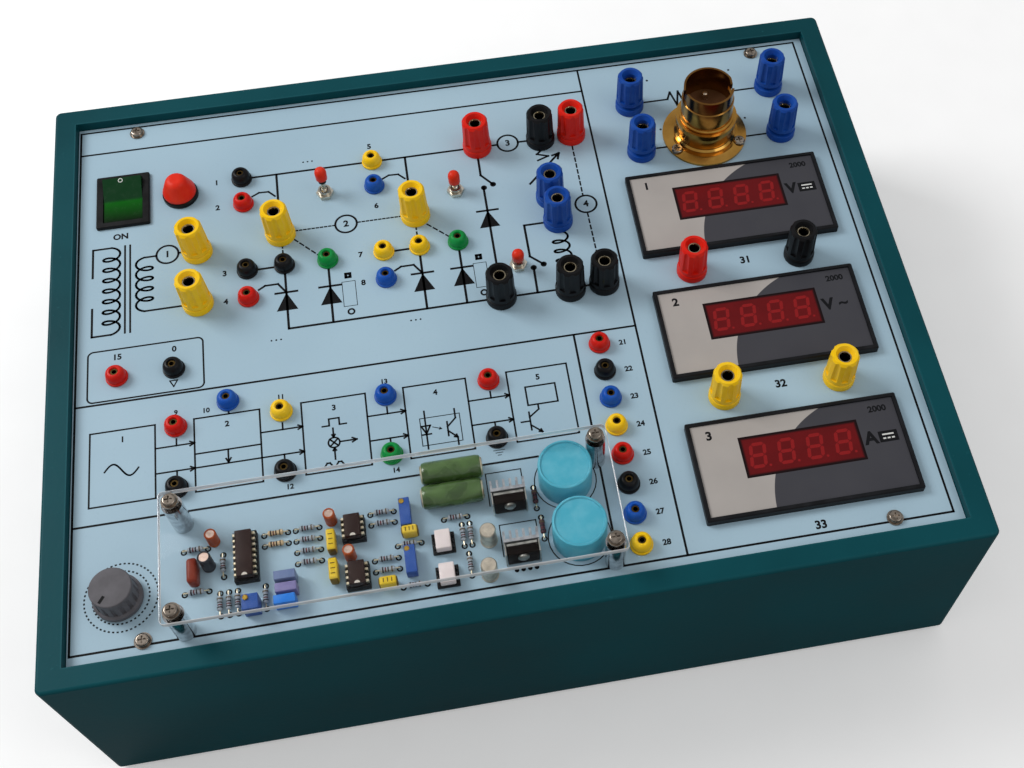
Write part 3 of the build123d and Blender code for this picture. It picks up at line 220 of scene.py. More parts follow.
def finish_node(node, material):
    """Puts one material in every slot of a carried-over node."""
    data = nodes[node].data
    if not data.materials:
        data.materials.append(material)
    for index in range(len(data.materials)):
        data.materials[index] = material


teal_paint = case_paint("teal_paint", "#023B42", "#064A52", "#286870")
finish_node("case_shell", teal_paint)


# Bottom cover.
# A flat plate under the case in the same paint, laid on thinner and duller.
cover_paint = case_paint("underside_paint", "#07333A", "#0D3F45", "#2C5D62")
finish_node("bottom_cover", cover_paint)


# Rubber feet.
# Four turned black rubber pads with a screw in a recess, dusty on the sides.
def rubber(name, dark, dusty):
    material, place = new_material(name)
    dust = noise(place, 260, 5)
    colour = blend(remap(dust, 0.45, 0.75, 0, 1), dark, dusty)
    return surface(material, colour, remap(dust, 0.3, 0.7, 0.62, 0.85), bump(dust, 0.3, 0.1 * mm))


finish_node("rubber_feet", rubber("foot_rubber", "#141414", "#34332F"))


# Case screws.
# Zinc plated machine screws and nuts: the cover's, the feet's and the inlet's.
def plated(name, pale, dull, smooth, rough):
    material, place = new_material(name)
    stain = noise(place, 320, 4)
    colour = blend(remap(stain, 0.35, 0.7, 0, 1), pale, dull)
    gloss, scratch = remap(stain, 0.3, 0.75, smooth, rough), noise(place, 2600, 2)
    return surface(material, colour, gloss, bump(scratch, 0.15, 0.03 * mm), Metallic=1)


zinc = plated("zinc_plate", "#C9C8C2", "#8F8E88", 0.28, 0.48)
finish_node("case_screws", zinc)


# Mains inlet.
# A black moulded shroud for a mains connector with three flat plated pins.
def plastic(name, colour, wear_and_edge_light, smooth=0.28, rough=0.42, grain_scale=420, relief=0.02, shine=0.16):
    material, place = new_material(name)
    mottle = noise(place, 160, 3)
    tint = blend(remap(mottle, 0.4, 0.75, 0, 0.45), colour, wear_and_edge_light)
    # Lighter convex edges: partly rubbed wear, partly a painted highlight.
    tint = blend(rubbed_edges(place, 0.35 * mm, 0.35), tint, wear_and_edge_light)
    gloss, grain = remap(mottle, 0.3, 0.7, smooth, rough), noise(place, grain_scale)
    return surface(material, tint, gloss, bump(grain, 0.4, relief * mm), Specular_IOR_Level=shine)


finish_node("mains_inlet", plastic("inlet_plastic", "#151516", "#2C2C2E", 0.4, 0.55, 900, 0.03))


# Front panel.
# A stiff laminate plate with a light blue printed face under a satin film,
# a little cloudy and faintly wavy, lying on the ledge of the case.
def panel_laminate():
    material, place = new_material("panel_laminate")
    cloud = noise(place, 7)
    fibre = noise(place, 900)
    colour = blend(remap(cloud, 0.35, 0.65, 0, 1), "#9DB8C8", "#A8C3D2")
    colour = blend(remap(fibre, 0.6, 0.8, 0, 0.25), colour, "#90A9B8")
    gloss, wave = remap(cloud, 0.3, 0.7, 0.3, 0.42), noise(place, 60, 2)
    return surface(material, colour, gloss, bump(wave, 0.25, 0.25 * mm), Specular_IOR_Level=0.2)


finish_node("front_panel", panel_laminate())
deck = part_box("front_panel")[1].z


def over_panel(x, y, height=0):
    """A shift to a place over the panel, in millimetres."""
    return Matrix.Translation((x * mm, y * mm, deck + height * mm))


# Printed artwork.
# Black screen ink on the face of the panel: rules round each field, the circuit
# symbols with their wires, and plain numbers. Places here are millimetres on the panel.
ink = bmesh.new()
ink_rise = 0.03
rule, wire, coil_wire, fine = 1, 1.15, 1.05, 0.8


def flat_plate(shape, place, length, width):
    """A flat rectangle, in millimetres, on a placed and turned middle."""
    size = Matrix.Diagonal((length * mm, width * mm, 1, 1))
    bmesh.ops.create_grid(shape, x_segments=1, y_segments=1, size=0.5, matrix=place @ size)


def stroke(*points, width=wire):
    """A line through the points, as one flat strip for each run."""
    for (ax, ay), (bx, by) in zip(points, points[1:]):
        length = math.hypot(bx - ax, by - ay) + width
        turn = Matrix.Rotation(math.atan2(by - ay, bx - ax), 4, "Z")
        flat_plate(ink, over_panel((ax + bx) / 2, (ay + by) / 2, ink_rise) @ turn, length, width)


thin = partial(stroke, width=fine)
coil_line = partial(stroke, width=coil_wire)
rule_line = partial(stroke, width=rule)


def frame_line(x0, y0, x1, y1, width=rule):
    """The outline of an upright rectangle."""
    stroke((x0, y0), (x1, y0), (x1, y1), (x0, y1), (x0, y0), width=width)


def dashes(start, end, dash=2.2, gap=1.6):
    """A dashed line."""
    run = Vector(end) - Vector(start)
    step = run.normalized()
    place = 0
    while place < run.length:
        stop = min(place + dash, run.length)
        thin(Vector(start) + step * place, Vector(start) + step * stop)
        place = stop + gap


def dot(x, y, radius=1.1, sides=20):
    """A filled round dot."""
    middle = over_panel(x, y, ink_rise)
    bmesh.ops.create_circle(ink, cap_ends=True, segments=sides, radius=radius * mm, matrix=middle)


def bend(x, y, radius, start, stop, width=wire):
    """Part of a ring, from one angle to another, in degrees."""
    first = Matrix.Rotation(math.radians(start), 4, "Z")
    middle = over_panel(x, y, ink_rise).translation
    inner = ink.verts.new(middle + first @ Vector(((radius - width / 2) * mm, 0, 0)))
    outer = ink.verts.new(middle + first @ Vector(((radius + width / 2) * mm, 0, 0)))
    edge = ink.edges.new((inner, outer))
    bmesh.ops.spin(
        ink,
        geom=[inner, outer, edge],
        cent=middle,
        axis=(0, 0, 1),
        angle=math.radians(stop - start),
        steps=max(4, round(abs(stop - start) / 12)),
        use_merge=abs(stop - start) == 360,
    )


def hoop(x, y, radius, width=wire):
    """A whole ring."""
    bend(x, y, radius, 0, 360, width)


def filled(*points):
    """A filled shape between a few corners."""
    ink.faces.new([ink.verts.new(over_panel(x, y, ink_rise).translation) for x, y in points])


def arrow(start, end, width=fine, barb=2.2):
    """A line with an open arrow head at its end."""
    back = math.atan2(start[1] - end[1], start[0] - end[0])
    stroke(start, end, width=width)
    for side in (-0.5, 0.5):
        tip = (end[0] + barb * math.cos(back + side), end[1] + barb * math.sin(back + side))
        stroke(end, tip, width=width)


def face_up(shape):
    """Turns the faces of a flat shape to look upwards."""
    for face in shape.faces:
        if face.normal.z < 0:
            face.normal_flip()


def print_text(shape, words, x, y, height, rise=ink_rise):
    """Words in the plain built-in letters, centred on a place, as flat faces."""
    curve = bpy.data.curves.new("words", "FONT")
    curve.body = words
    curve.align_x = "CENTER"
    curve.align_y = "CENTER"
    curve.size = height * 1.38 * mm
    curve.offset = 0.055 * height * mm
    curve.resolution_u = 3
    holder = bpy.data.objects.new("words", curve)
    bpy.context.scene.collection.objects.link(holder)
    bpy.context.view_layer.update()
    flat = bpy.data.meshes.new_from_object(holder)
    flat.transform(over_panel(x, y, rise))
    shape.from_mesh(flat)
    bpy.data.objects.remove(holder)
    bpy.data.curves.remove(curve)
    bpy.data.meshes.remove(flat)


# Fields of the print: the outer border, the title band and the dividing rules.
border_left, border_right, border_front, border_back = -186.8, 183.6, -136.8, 140.2
divider = 67.4
circuit_front = -20.7
column_left = 38.4
board_back = -80
frame_line(border_left, border_front, border_right, border_back)
rule_line((border_left, 125.6), (divider, 125.6))
rule_line((divider, border_front), (divider, border_back))
rule_line((border_left, circuit_front), (divider, circuit_front))
rule_line((column_left, circuit_front), (column_left, border_front))
rule_line((border_left, board_back), (12.5, board_back))

# Supply field: a rounded frame round two sockets, and a small earth mark.
box_left, box_right, box_front, box_back, box_round = -181.5, -129.8, -19.3, 7.6, 2.5
for x in (box_left, box_right):
    thin((x, box_front + box_round), (x, box_back - box_round))
for y in (box_front, box_back):
    thin((box_left + box_round, y), (box_right - box_round, y))
for x, y, start in (
    (box_right - box_round, box_back - box_round, 0),
    (box_left + box_round, box_back - box_round, 90),
    (box_left + box_round, box_front + box_round, 180),
    (box_right - box_round, box_front + box_round, 270),
):
    bend(x, y, box_round, start, start + 90, fine)
stroke((-145, -13.6), (-141.6, -13.6), (-143.3, -16.8), (-145, -13.6), width=0.6)

# Transformer symbol: primary and secondary coils either side of two core lines.
def coil(x, back, front, turns, reach, loop):
    """A wound symbol: one line that curls forward, its big loops on one side."""
    steps = 20 * turns + 11
    points = []
    for index in range(steps):
        angle = 2 * math.pi * index / 20 - math.pi / 2
        drop = back + (front - back) * index / (steps - 1)
        points.append((x + reach * math.cos(angle), drop - loop * math.sin(angle)))
    coil_line(*points)
    return points[0], points[-1]


primary_x, secondary_x = -171.2, -156
top, foot = coil(primary_x, 63.5, 18.3, 7, 3.9, 2.3)
coil_line((-180, 65.8), top)
coil_line(foot, (-180, 16))
coil_line((-180, 16), (-180, 31.5))
coil_line((-180, 49.5), (-180, 65.8))
for x in (-165, -162.6):
    stroke((x, 16), (x, 66), width=0.9)
top, foot = coil(secondary_x, 55.2, 28.8, 4, -3.9, 2.3)
coil_line(top, (-150.3, 57.5))
coil_line(foot, (-138, 26.5))
hoop(-145.1, 57.5, 5.2, coil_wire)
coil_line((-139.9, 57.5), (-136, 57.5))

# Bridge circuit: two bus lines, the rectifier symbols and their gate leads.
bus_front, bus_back = 5.3, 97.5
stroke((-90.2, bus_front), (57, bus_front))
stroke((-103.5, bus_back), (19.4, bus_back))
hoop(24.6, 97.7, 5.2, coil_wire)
stroke((29.8, bus_back), (41, bus_back))


def rectifier(x, bar, foot, top):
    """A filled triangle against a bar on an upright wire."""
    stroke((x - 5, bar), (x + 5, bar))
    filled((x - 5, bar - 10.2), (x + 5, bar - 10.2), (x, bar - 0.2))
    stroke((x, foot), (x, top))


for x in (-90.5, -70, -26.4, -7.6):
    rectifier(x, 25.8, bus_front, 37)
rectifier(8.9, 57.3, 12, 71.5)
for x in (-90.5, -26.4):
    coil_line((x - 12.6, 29.4), (x - 9.6, 31.2), (x - 3.6, 31.2), (x - 0.4, 26.4))
for x in (-91.3, -27.4):
    stroke((x - 12.4, 85.6), (x - 9, 87.4), (x - 4.4, 87.2), (x - 1.4, 84), width=1)
    stroke((x, bus_back), (x, 79.5))
stroke((-107, 41.2), (-91, 41.2))
stroke((-43, 40.9), (-26.5, 40.9))
for x in (-90.8, -26.5):
    dashes((x, 54), (x, 46))
dashes((-85, 56), (-74, 44.5))
dashes((-21, 54), (-10.5, 44))
hoop(-59.7, 61, 5.2, coil_wire)
dashes((-84, 61), (-65.6, 61), 0.9, 1.1)
dashes((-53.8, 61), (-32.8, 61), 0.9, 1.1)
hoop(57, 53, 5.2, coil_wire)
dashes((56.4, 90), (56.4, 58.6))
dashes((56.8, 47.4), (57.2, 12))

# Free-wheel branch, switch symbols, inductor and variable resistor.
dot(9.1, 71.5, 1.5)
dot(13.8, 72.9, 1.5)
stroke((13.8, 72.9), (8.5, 79.5), (8.6, 90))
stroke((37, 45.2), (25.2, 45.2), (25.2, 26.5), (31, 21))
dot(31, 21, 1.5)
dot(26, 19.8, 1.5)
stroke((26, 19.8), (25.7, bus_front))
coil(41.2, 37, 17.5, 3, 3.8, 2)
stroke((41.6, 39), (41.6, 42))
coil_line((41, 90.5), (38, 88), (43.5, 86), (38, 84))
arrow((32, 70), (49, 87), wire, 3.6)
for x, y in ((-96.6, 0), (-32.3, 0), (-75.5, 103)):
    for shift in (-2.2, 0, 2.2):
        dot(x + shift, y, 0.45, 10)

# Two places for parts that were never fitted: a square pad, a round pad, an outline.
for x in (-61.3, 1):
    frame_line(x - 1, 29.5, x + 1, 31.5, 1.4)
    hoop(x, 9.8, 1.4, 0.9)
    frame_line(x - 3.1, 13, x + 3.1, 27, 0.3)

# Load field: a zigzag between the back posts, a plain wire between the front ones.
zigzag = [(110 + 2.1 * step, 112.5 + (4.6 if step % 2 else -4.6)) for step in range(1, 9)]
coil_line((95, 112.5), (110, 112.5), *zigzag, (129, 112.5), (157, 112.5))
coil_line((95, 81.5), (156, 81.5))
for x, y in ((102, 127), (145.5, 127), (102.5, 93.3), (146.5, 93.5)):
    dot(x, y, 0.6, 12)

# Control field: five blocks with arrows between them and a small symbol in each.
block_front, block_back = -71.5, -35.2
blocks = [(-180, -151.8), (-134.8, -106), (-87.6, -59), (-42, -13.8), (4.8, 32.4)]
for left, right in blocks:
    frame_line(left, block_front, right, block_back, fine)
for (_, right), (next_left, _) in zip(blocks, blocks[1:]):
    for y in (-47.3, -59.8):
        arrow((right, y), (next_left, y))
for x in (-142.6, -96.3, -50, -3.6):
    thin((x, -44), (x, -47.3))
    thin((x, -63), (x, -59.8))
    dot(x, -47.3, 0.5, 10)
    dot(x, -59.8, 0.5, 10)
thin((-119.5, -33), (-119.5, block_back))
thin((-134.8, -53), (-106, -53))
thin((-134.8, -59.8), (-106, -59.8))
arrow((-120.4, -53), (-120.4, -59.4))
sine = [(-173.5 + 14.5 * k / 24, -55.2 + 3.2 * math.sin(2 * math.pi * k / 24)) for k in range(25)]
thin(*sine)
pulse = [(-79, -49), (-76, -49), (-76, -45.6), (-71.5, -45.6), (-71.5, -49), (-68.5, -49)]
thin(*pulse)
hoop(-74.5, -57.7, 2.5, fine)
thin((-76.3, -55.9), (-72.7, -59.5))
thin((-76.3, -59.5), (-72.7, -55.9))
arrow((-72, -57.7), (-64.5, -57.7))
arrow((-74.5, -50.5), (-74.5, -55), fine, 1.4)
arrow((-74.5, -66), (-74.5, -60.4), fine, 1.4)
comb = [(-79.5 + step * 1.25, -69.4 + (1.9 if step % 4 in (1, 2) else 0)) for step in range(9)]
thin(*comb)
frame_line(-36.3, -66.3, -18.6, -52.5, 0.4)
thin((-34, -49), (-34, -68))
thin((-36, -56.5), (-32, -56.5), (-34, -60.5), (-36, -56.5))
thin((-36, -60.8), (-32, -60.8))
thin((-24.5, -56), (-24.5, -63))
thin((-24.5, -58.5), (-20.6, -54.6), (-20.6, -50))
arrow((-24.5, -60.5), (-20.6, -64.4), fine, 1.5)
thin((-20.6, -64.4), (-20.6, -68))
arrow((-31, -57.5), (-27.2, -59), 0.4, 1.1)
frame_line(12.2, -54, 25.7, -44.5, fine)
thin((12, -57.5), (12, -66.5))
thin((8, -62), (12, -62))
thin((12, -60), (16.6, -56.6), (16.6, -54))
arrow((12, -64), (16.6, -68.2), fine, 1.5)
for level, half in ((-74, 2.4), (-75.2, 1.5), (-76.4, 0.7)):
    stroke((-3.7 - half, level), (-3.7 + half, level), width=0.35)

# Plain numbers beside the sockets, in the blocks and in the round symbols, and the
# mark of the switched-on side below the rocker.
numbers = [
    (-120.6, 97.1, 3), (-120.6, 81.4, 3), (-118.6, 41.4, 3), (-118.6, 25.2, 3),
    (-44.4, 107.4, 3), (-44.2, 69.4, 3), (-54.4, 41.4, 3), (-54.4, 25, 3),
    (-142.6, -30.6, 2.4), (-129.4, -31.8, 2.4), (-96.3, -30.6, 2.4), (-94.8, -76, 2.4),
    (-50, -30.6, 2.4), (-49, -76, 2.4),
]
for count, (x, y, height) in enumerate(numbers, 1):
    print_text(ink, str(count), x, y, height)
column_pitch = 14.4
for count in range(8):
    print_text(ink, str(21 + count), 60, -28.6 - column_pitch * count, 2.6)
for count, (left, right) in enumerate(blocks, 1):
    print_text(ink, str(count), (left + right) / 2, -40.2, 2.8)
for count, (x, y) in enumerate(((-145.1, 57.5), (-59.7, 61), (24.6, 97.7), (57, 53)), 1):
    print_text(ink, str(count), x, y, 3.6)
for count, y in enumerate((6.8, -62.6, -133), 31):
    print_text(ink, str(count), 126.2, y, 3.8)
print_text(ink, "15", -168.4, 3.2, 3)
print_text(ink, "0", -142.8, 3.2, 3)
print_text(ink, "ON", -167, 71.8, 3.3)


def screen_ink(name, dark, thin):
    material, place = new_material(name)
    cover = noise(place, 1400)
    colour = blend(remap(cover, 0.5, 0.8, 0, 0.5), dark, thin)
    return surface(material, colour, remap(cover, 0.3, 0.7, 0.4, 0.6), Specular_IOR_Level=0.12)


def finish_piece(name, shape, material, stands_for=None, body="case", smooth=35):
    """Turns a finished shape into a piece that rides on a body of the frame."""
    mesh = shape_to_mesh(shape, name)
    mesh.materials.append(material)
    if smooth:
        mesh.shade_smooth()
        mesh.set_sharp_from_angle(angle=math.radians(smooth))
    piece = bpy.data.objects.new(name, mesh)
    bpy.context.scene.collection.objects.link(piece)
    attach(piece, body)
    if stands_for:
        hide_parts(stands_for)
    return piece


black_ink = screen_ink("black_ink", "#08090B", "#1C1F24")

# Dotted rings round the knob.
for radius, count in ((15, 52), (11.6, 40)):
    for index in range(count):
        start = 360 * index / count
        bend(-166.2, -114.6, radius, start, start + 180 / count, 0.7)

# Drilled holes with round pads at the ends of the small parts of the board, each row
# as its middle and the turn of the part.
pad_rows = [
    (-135.4, -99.1, 0), (-135.4, -118.2, 0), (-101.9, -97.3, 0), (-101.9, -102.3, 0), (-88.7, -97.3, 0),
    (-88.7, -102.3, 0), (-88.7, -107.5, 0), (-88.7, -112.6, 0), (-57, -95.4, 0), (-57, -100.4, 0),
    (-57, -116.9, 0), (-57, -121.9, 0), (-46.4, -130.5, 0), (-46.9, -111.8, 0), (-26.4, -103.1, 0),
    (-124.2, -108, 90), (-126, -125, 90), (-122.4, -125, 90), (-118.8, -125, 90),
    (-107.4, -125, 90), (-24.2, -111.5, 90), (-20.9, -111.5, 90), (-22.8, -125.2, 90),
    (8.3, -99.6, 90), (9.4, -114, 90),
]
half_span = 5


def pad_pair(x, y, turn):
    """The places of the two holes of a part that stands on the board."""
    across, along = half_span * math.cos(math.radians(turn)), half_span * math.sin(math.radians(turn))
    return [(x - across, y - along), (x + across, y + along)]


for row in pad_rows:
    for x, y in pad_pair(*row):
        hoop(x, y, 1, 0.7)
pulse_places = [(22.5, -93.5), (24.3, -120.3)]
for x, y in pulse_places:
    hoop(x, y, 13.4, 0.5)
for left, right, front, back in ((-11.2, 4.2, -100, -84.6), (-8.6, 7, -124, -109.6)):
    stroke((left, front), (left, back), (right, back), (right, front), width=0.5)
for x in (-4.1, -1.3, 1.5, 4.3):
    dot(x, -131, 1, 14)
face_up(ink)
finish_piece("printed_artwork", ink, black_ink, smooth=0)


# Corner screws of the panel.
# Pan head screws on plain washers, nickel plated with a warm tint.
finish_node("panel_screws", plated("panel_screw_metal", "#A79C90", "#5E554C", 0.16, 0.32))


# Power switch.
# A black snap-in housing with a green translucent rocker. The pressed-in half is painted brighter, a
# painted glow with no lamp behind it, and the raised half is painted darker as painted shade; the raised
# half has a small white ring at its end.
housing_black = plastic("switch_housing_black", "#0B0B0D", "#1B1C1F", 0.28, 0.45, 500, 0.02)
finish_node("switch_housing", housing_black)
rocker_x, rocker_y = -165.6, 93


def along_axis(place, axis):
    """One coordinate of a place."""
    return new_result(place, "SeparateXYZ", axis, Vector=place)


def clear_green():
    material, place = new_material("rocker_green_painted_glow")
    along = along_axis(place, "Y")
    # Painted light and shade: the pressed front half brightens towards the middle, and the raised back
    # half gets a darker painted shade.
    front = remap(along, (rocker_y - 12.7) * mm, (rocker_y - 1) * mm, 0, 1)
    back = remap(along, (rocker_y - 0.8) * mm, (rocker_y + 0.8) * mm, 0, 1)
    colour = blend(back, blend(front, "#021603", "#04560A"), "#0C361A")
    wear = noise(place, 320, 4)
    gloss, relief = remap(wear, 0.35, 0.75, 0.16, 0.34), bump(wear, 0.12, 0.03 * mm)
    return surface(material, colour, gloss, relief, Specular_IOR_Level=0.12)


finish_node("power_rocker", clear_green())
mark = bmesh.new()
for radius in (1.15 * mm, 0.8 * mm):
    bmesh.ops.create_circle(mark, segments=28, radius=radius)
bmesh.ops.bridge_loops(mark, edges=mark.edges[:])
mark_slope, slope_run = math.radians(16), 10.4
slope_rise = 1.25 + slope_run * math.tan(mark_slope)
mark_middle = over_panel(rocker_x - 0.6, rocker_y + slope_run, slope_rise)
mark.transform(mark_middle @ Matrix.Rotation(mark_slope, 4, "X"))
face_up(mark)
finish_piece("rocker_mark", mark, screen_ink("white_ink", "#D8DCD8", "#A9B3AC"), body="rocker", smooth=0)


# Fuse holder and its screw cap.
# A black collar in the panel, a red domed cap that screws into it.
finish_node("fuse_holder", plastic("fuse_holder_black", "#0B0B0D", "#1D1D20", 0.3, 0.5, 450, 0.02))
finish_node("fuse_cap", plastic("fuse_cap_red", "#DC240E", "#E04A34", 0.3, 0.45, 420, 0.03))
finish_node("fuse_link", plated("fuse_link_metal", "#D6D8D9", "#8F9496", 0.2, 0.4))


# Binding posts.
# Turned caps with eight wide flutes, screwed on plated tubes that hold the plug.
# A collar of the same colour sits on the panel, its neck and washer below.
def turned_shape(points, sides=40):
    """An outline of radius and height points in millimetres, spun about Z."""
    shape = bmesh.new()
    corners = [shape.verts.new((radius * mm, 0, height * mm)) for radius, height in points]
    edges = [shape.edges.new(pair) for pair in zip(corners, corners[1:] + corners[:1])]
    bmesh.ops.spin(
        shape,
        geom=corners + edges,
        cent=(0, 0, 0),
        axis=(0, 0, 1),
        angle=2 * math.pi,
        steps=sides,
        use_merge=True,
    )
    bmesh.ops.remove_doubles(shape, verts=shape.verts, dist=1e-7)
    bmesh.ops.recalc_face_normals(shape, faces=shape.faces)
    return shape_to_mesh(shape, "turned")


def stand_at(target, shape, places, height=0, turn=0):
    """Copies of a shape in one mesh, at places in millimetres over the panel."""
    for x, y in places:
        copy = shape.copy()
        copy.transform(over_panel(x, y, height) @ Matrix.Rotation(turn, 4, "Z"))
        target.from_mesh(copy)
        bpy.data.meshes.remove(copy)


post_groups = {
    "yellow": ("#F8C60A", "#F8D444", 0.3, 0.46, [
        (-130.8, 56.2), (-131.2, 26.2), (-91.1, 59.7), (-26, 60), (99.5, -64.7), (152.6, -64.3),
    ]),
    "red": ("#D6180A", "#DC3C2A", 0.3, 0.46, [(9.2, 97.2), (57, 97.3), (99.6, 4.9)]),
    "black": ("#0B0B0D", "#1D1D20", 0.32, 0.5, [
        (41.2, 96.7), (8.6, 5.3), (41.2, 4.2), (57.4, 4.9), (151.9, 5.2),
    ]),
    "blue": ("#0C4096", "#2F60B0", 0.3, 0.46, [
        (41.8, 44.7), (40.5, 59.5), (89.7, 111), (90, 80.3), (163, 111.8), (161.9, 81),
    ]),
}
collar_profile = [
    (3.1, -2.4), (3.95, -2.4), (3.95, 0), (7, 0), (7.2, 0.25),
    (7.2, 3.3), (7, 3.8), (6.6, 4), (3.1, 4),
]
collar = turned_shape(collar_profile)
under_washer = turned_shape([(3.1, -4.4), (6.5, -4.4), (6.5, -2.4), (3.1, -2.4)], 28)
for colour, (fresh, wear_and_edge_light, smooth, rough, places) in post_groups.items():
    post_plastic = plastic(f"post_{colour}", fresh, wear_and_edge_light, smooth, rough, 380, 0.05)
    collars = bmesh.new()
    stand_at(collars, collar, places)
    stand_at(collars, under_washer, places)
    finish_piece(f"post_collars_{colour}", collars, post_plastic, "post_bases")
    for number in range(1, len(places) + 1):
        finish_node(f"post_head_{colour}_{number}", post_plastic)

# The plated tube of each post, countersunk at the mouth, with its nut on the tail.
tube_profile = [
    (0, -16), (2.5, -16), (3, -15.5), (3, 18.4), (2.85, 18.6),
    (2.5, 18.6), (2.05, 17.6), (2.05, 3.8), (0, 2.8),
]
tubes = bmesh.new()
all_posts = [place for group in post_groups.values() for place in group[-1]]
stand_at(tubes, turned_shape(tube_profile, 32), all_posts)
nut = bmesh.new()
across_flats, thread_radius, nut_height = 9, 3.05, 3
bmesh.ops.create_circle(nut, segments=6, radius=across_flats / math.sqrt(3) * mm)
bmesh.ops.create_circle(nut, segments=30, radius=thread_radius * mm)
bmesh.ops.bridge_loops(nut, edges=nut.edges[:])
raised = bmesh.ops.extrude_face_region(nut, geom=nut.faces[:])
raised_verts = [part for part in raised["geom"] if isinstance(part, bmesh.types.BMVert)]
bmesh.ops.translate(nut, verts=raised_verts, vec=(0, 0, nut_height * mm))
bmesh.ops.recalc_face_normals(nut, faces=nut.faces)
stand_at(tubes, shape_to_mesh(nut, "nut"), all_posts, -7.4)


def deep_metal(name, pale, dull, floor, mouth, smooth, rough):
    """Plated metal with painted shade down a hole: its colour goes near black between two heights over
    the panel.
    """
    material = plated(name, pale, dull, smooth, rough)
    shader = material.node_tree.nodes["Principled BSDF"]
    colour = shader.inputs["Base Color"].links[0].from_socket
    place = material.node_tree.nodes.new("ShaderNodeTexCoord").outputs["Object"]
    # Painted shade: the base colour is blended to near black lower down the hole.
    depth = remap(along_axis(place, "Z"), deck + floor * mm, deck + mouth * mm, 0, 1)
    feed(shader, Base_Color=blend(depth, "#0A0907", colour))
    return material


# The tube's colour darkens down its bore as painted shade.
tube_metal = deep_metal("post_tube_metal_painted_shade", "#C4B99F", "#7E735F", 16.8, 18.2, 0.18, 0.34)
finish_piece("post_tubes", tubes, tube_metal, "post_studs")


# Test sockets.
# Small domed bodies in five colours with a brass tube for the test pin.
socket_groups = {
    "black": ("#0C0C0E", "#202124", [
        (-108.2, 97.1), (-107.8, 41.2), (-90.4, 41.2), (-142.9, -7.8), (-142.6, -68.5),
        (-96.2, -68.5), (-3.7, -68.3), (49.2, -42.4), (49.2, -100),
    ]),
    "red": ("#C8160C", "#D03A2C", [
        (-108, 81.4), (-108, 25.2), (-168.3, -7.8), (-142.6, -38.2), (-3.5, -38.4),
        (49.2, -28), (49.2, -85.6),
    ]),
    "yellow": ("#F8C60A", "#F8D44C", [
        (-43.8, 97), (-43.2, 40.8), (-26, 40.9), (-96.3, -38.4), (49.2, -71.2), (49.2, -128.8),
    ]),
    "blue": ("#104CA8", "#3468B8", [
        (-44, 81.5), (-43.5, 25), (-119.5, -29), (-50, -38.4), (49.2, -56.8), (49.2, -114.4),
    ]),
    "green": ("#04863A", "#2C9A56", [(-69.9, 40.7), (-7.5, 40.7), (-50, -68.3)]),
}
socket_profile = [
    (1.62, -6.5), (3, -6.5), (3, -4), (3.4, -2.5), (3, -2.5), (3, 0), (4.9, 0),
    (5, 0.15), (5, 1), (4.85, 1.2), (4.5, 1.3), (4.4, 1.6), (4.5, 2), (4.45, 3.4),
    (4.1, 4.6), (3.6, 5.4), (3.1, 5.85), (2.7, 6.05), (2.1, 6.05), (1.9, 5.8), (1.62, 4.8),
]
socket_shape = turned_shape(socket_profile, 36)
for colour, (fresh, wear_and_edge_light, places) in socket_groups.items():
    sockets = bmesh.new()
    stand_at(sockets, socket_shape, places)
    socket_plastic = plastic(f"socket_{colour}", fresh, wear_and_edge_light, relief=0.03)
    finish_piece(f"test_sockets_{colour}", sockets, socket_plastic, "test_sockets")
# The contacts' colour darkens down the socket hole as painted shade.
finish_node("socket_contacts", deep_metal("socket_brass", "#6E5A34", "#3F3018", 4, 5.6, 0.22, 0.4))


# Toggle switches.
# Zinc cases below the panel, plated bushings and nuts above it, and plated levers
# with a red sleeve pushed over the end. The mode switch has a black collar too.
toggle_zinc = plated("toggle_zinc", "#C4C0B6", "#8B877C", 0.22, 0.4)
finish_node("toggle_bodies", toggle_zinc)
finish_node("toggle_nuts", plated("toggle_nut_nickel", "#EAE4D8", "#B4AC9C", 0.2, 0.36))
sleeve_red = plastic("sleeve_red", "#D62C14", "#DA4E36", 0.3, 0.45, 500, 0.02)
collar_black = plastic("collar_black", "#0D0D0E", "#222224", 0.35, 0.5, 500, 0.02)
lever_nickel = plated("lever_nickel", "#D2CCBE", "#958D7C", 0.16, 0.3)
pivot_height, sleeve_bore = 3, 1.05
toggles = [
    ("mode_lever", "mode_switch_lever", -68.2, 81, 14, 10),
    ("s1_lever", "s1_switch_lever", -4.9, 71.5, 10.3, 10),
    ("s2_lever", "s2_switch_lever", 19.1, 22.3, 10.3, -10),
]
for node, body, x, y, reach, lean in toggles:
    foot = reach - 6.8
    rod_profile = [(0, 1.2), (1.25, 1.4), (1, 2.2), (1, reach - 1.3), (0, reach - 1.3)]
    sleeve_profile = [
        (sleeve_bore, foot), (2.55, foot), (2.75, foot + 0.3), (2.9, reach - 2.8), (2.7, reach - 1.6),
        (2.1, reach - 0.6), (1.1, reach - 0.1), (0, reach), (0, reach - 1.2), (sleeve_bore, reach - 1.2),
    ]
    band_profile = [
        (sleeve_bore, foot - 2), (1.8, foot - 2), (1.95, foot - 1.6), (1.95, foot), (sleeve_bore, foot),
    ]
    parts = [("rod", rod_profile, 20, lever_nickel), ("sleeve", sleeve_profile, 28, sleeve_red)]
    if node == "mode_lever":
        parts.append(("band", band_profile, 24, collar_black))
    pivot = over_panel(x, y, pivot_height) @ Matrix.Rotation(math.radians(-lean), 4, "X")
    for part, profile, sides, finish in parts:
        shape = bmesh.new()
        if part == "rod":
            bmesh.ops.create_uvsphere(shape, u_segments=24, v_segments=14, radius=2 * mm)
        shape.from_mesh(turned_shape(profile, sides))
        shape.transform(pivot)
        finish_piece(f"{node}_{part}", shape, finish, node, body)


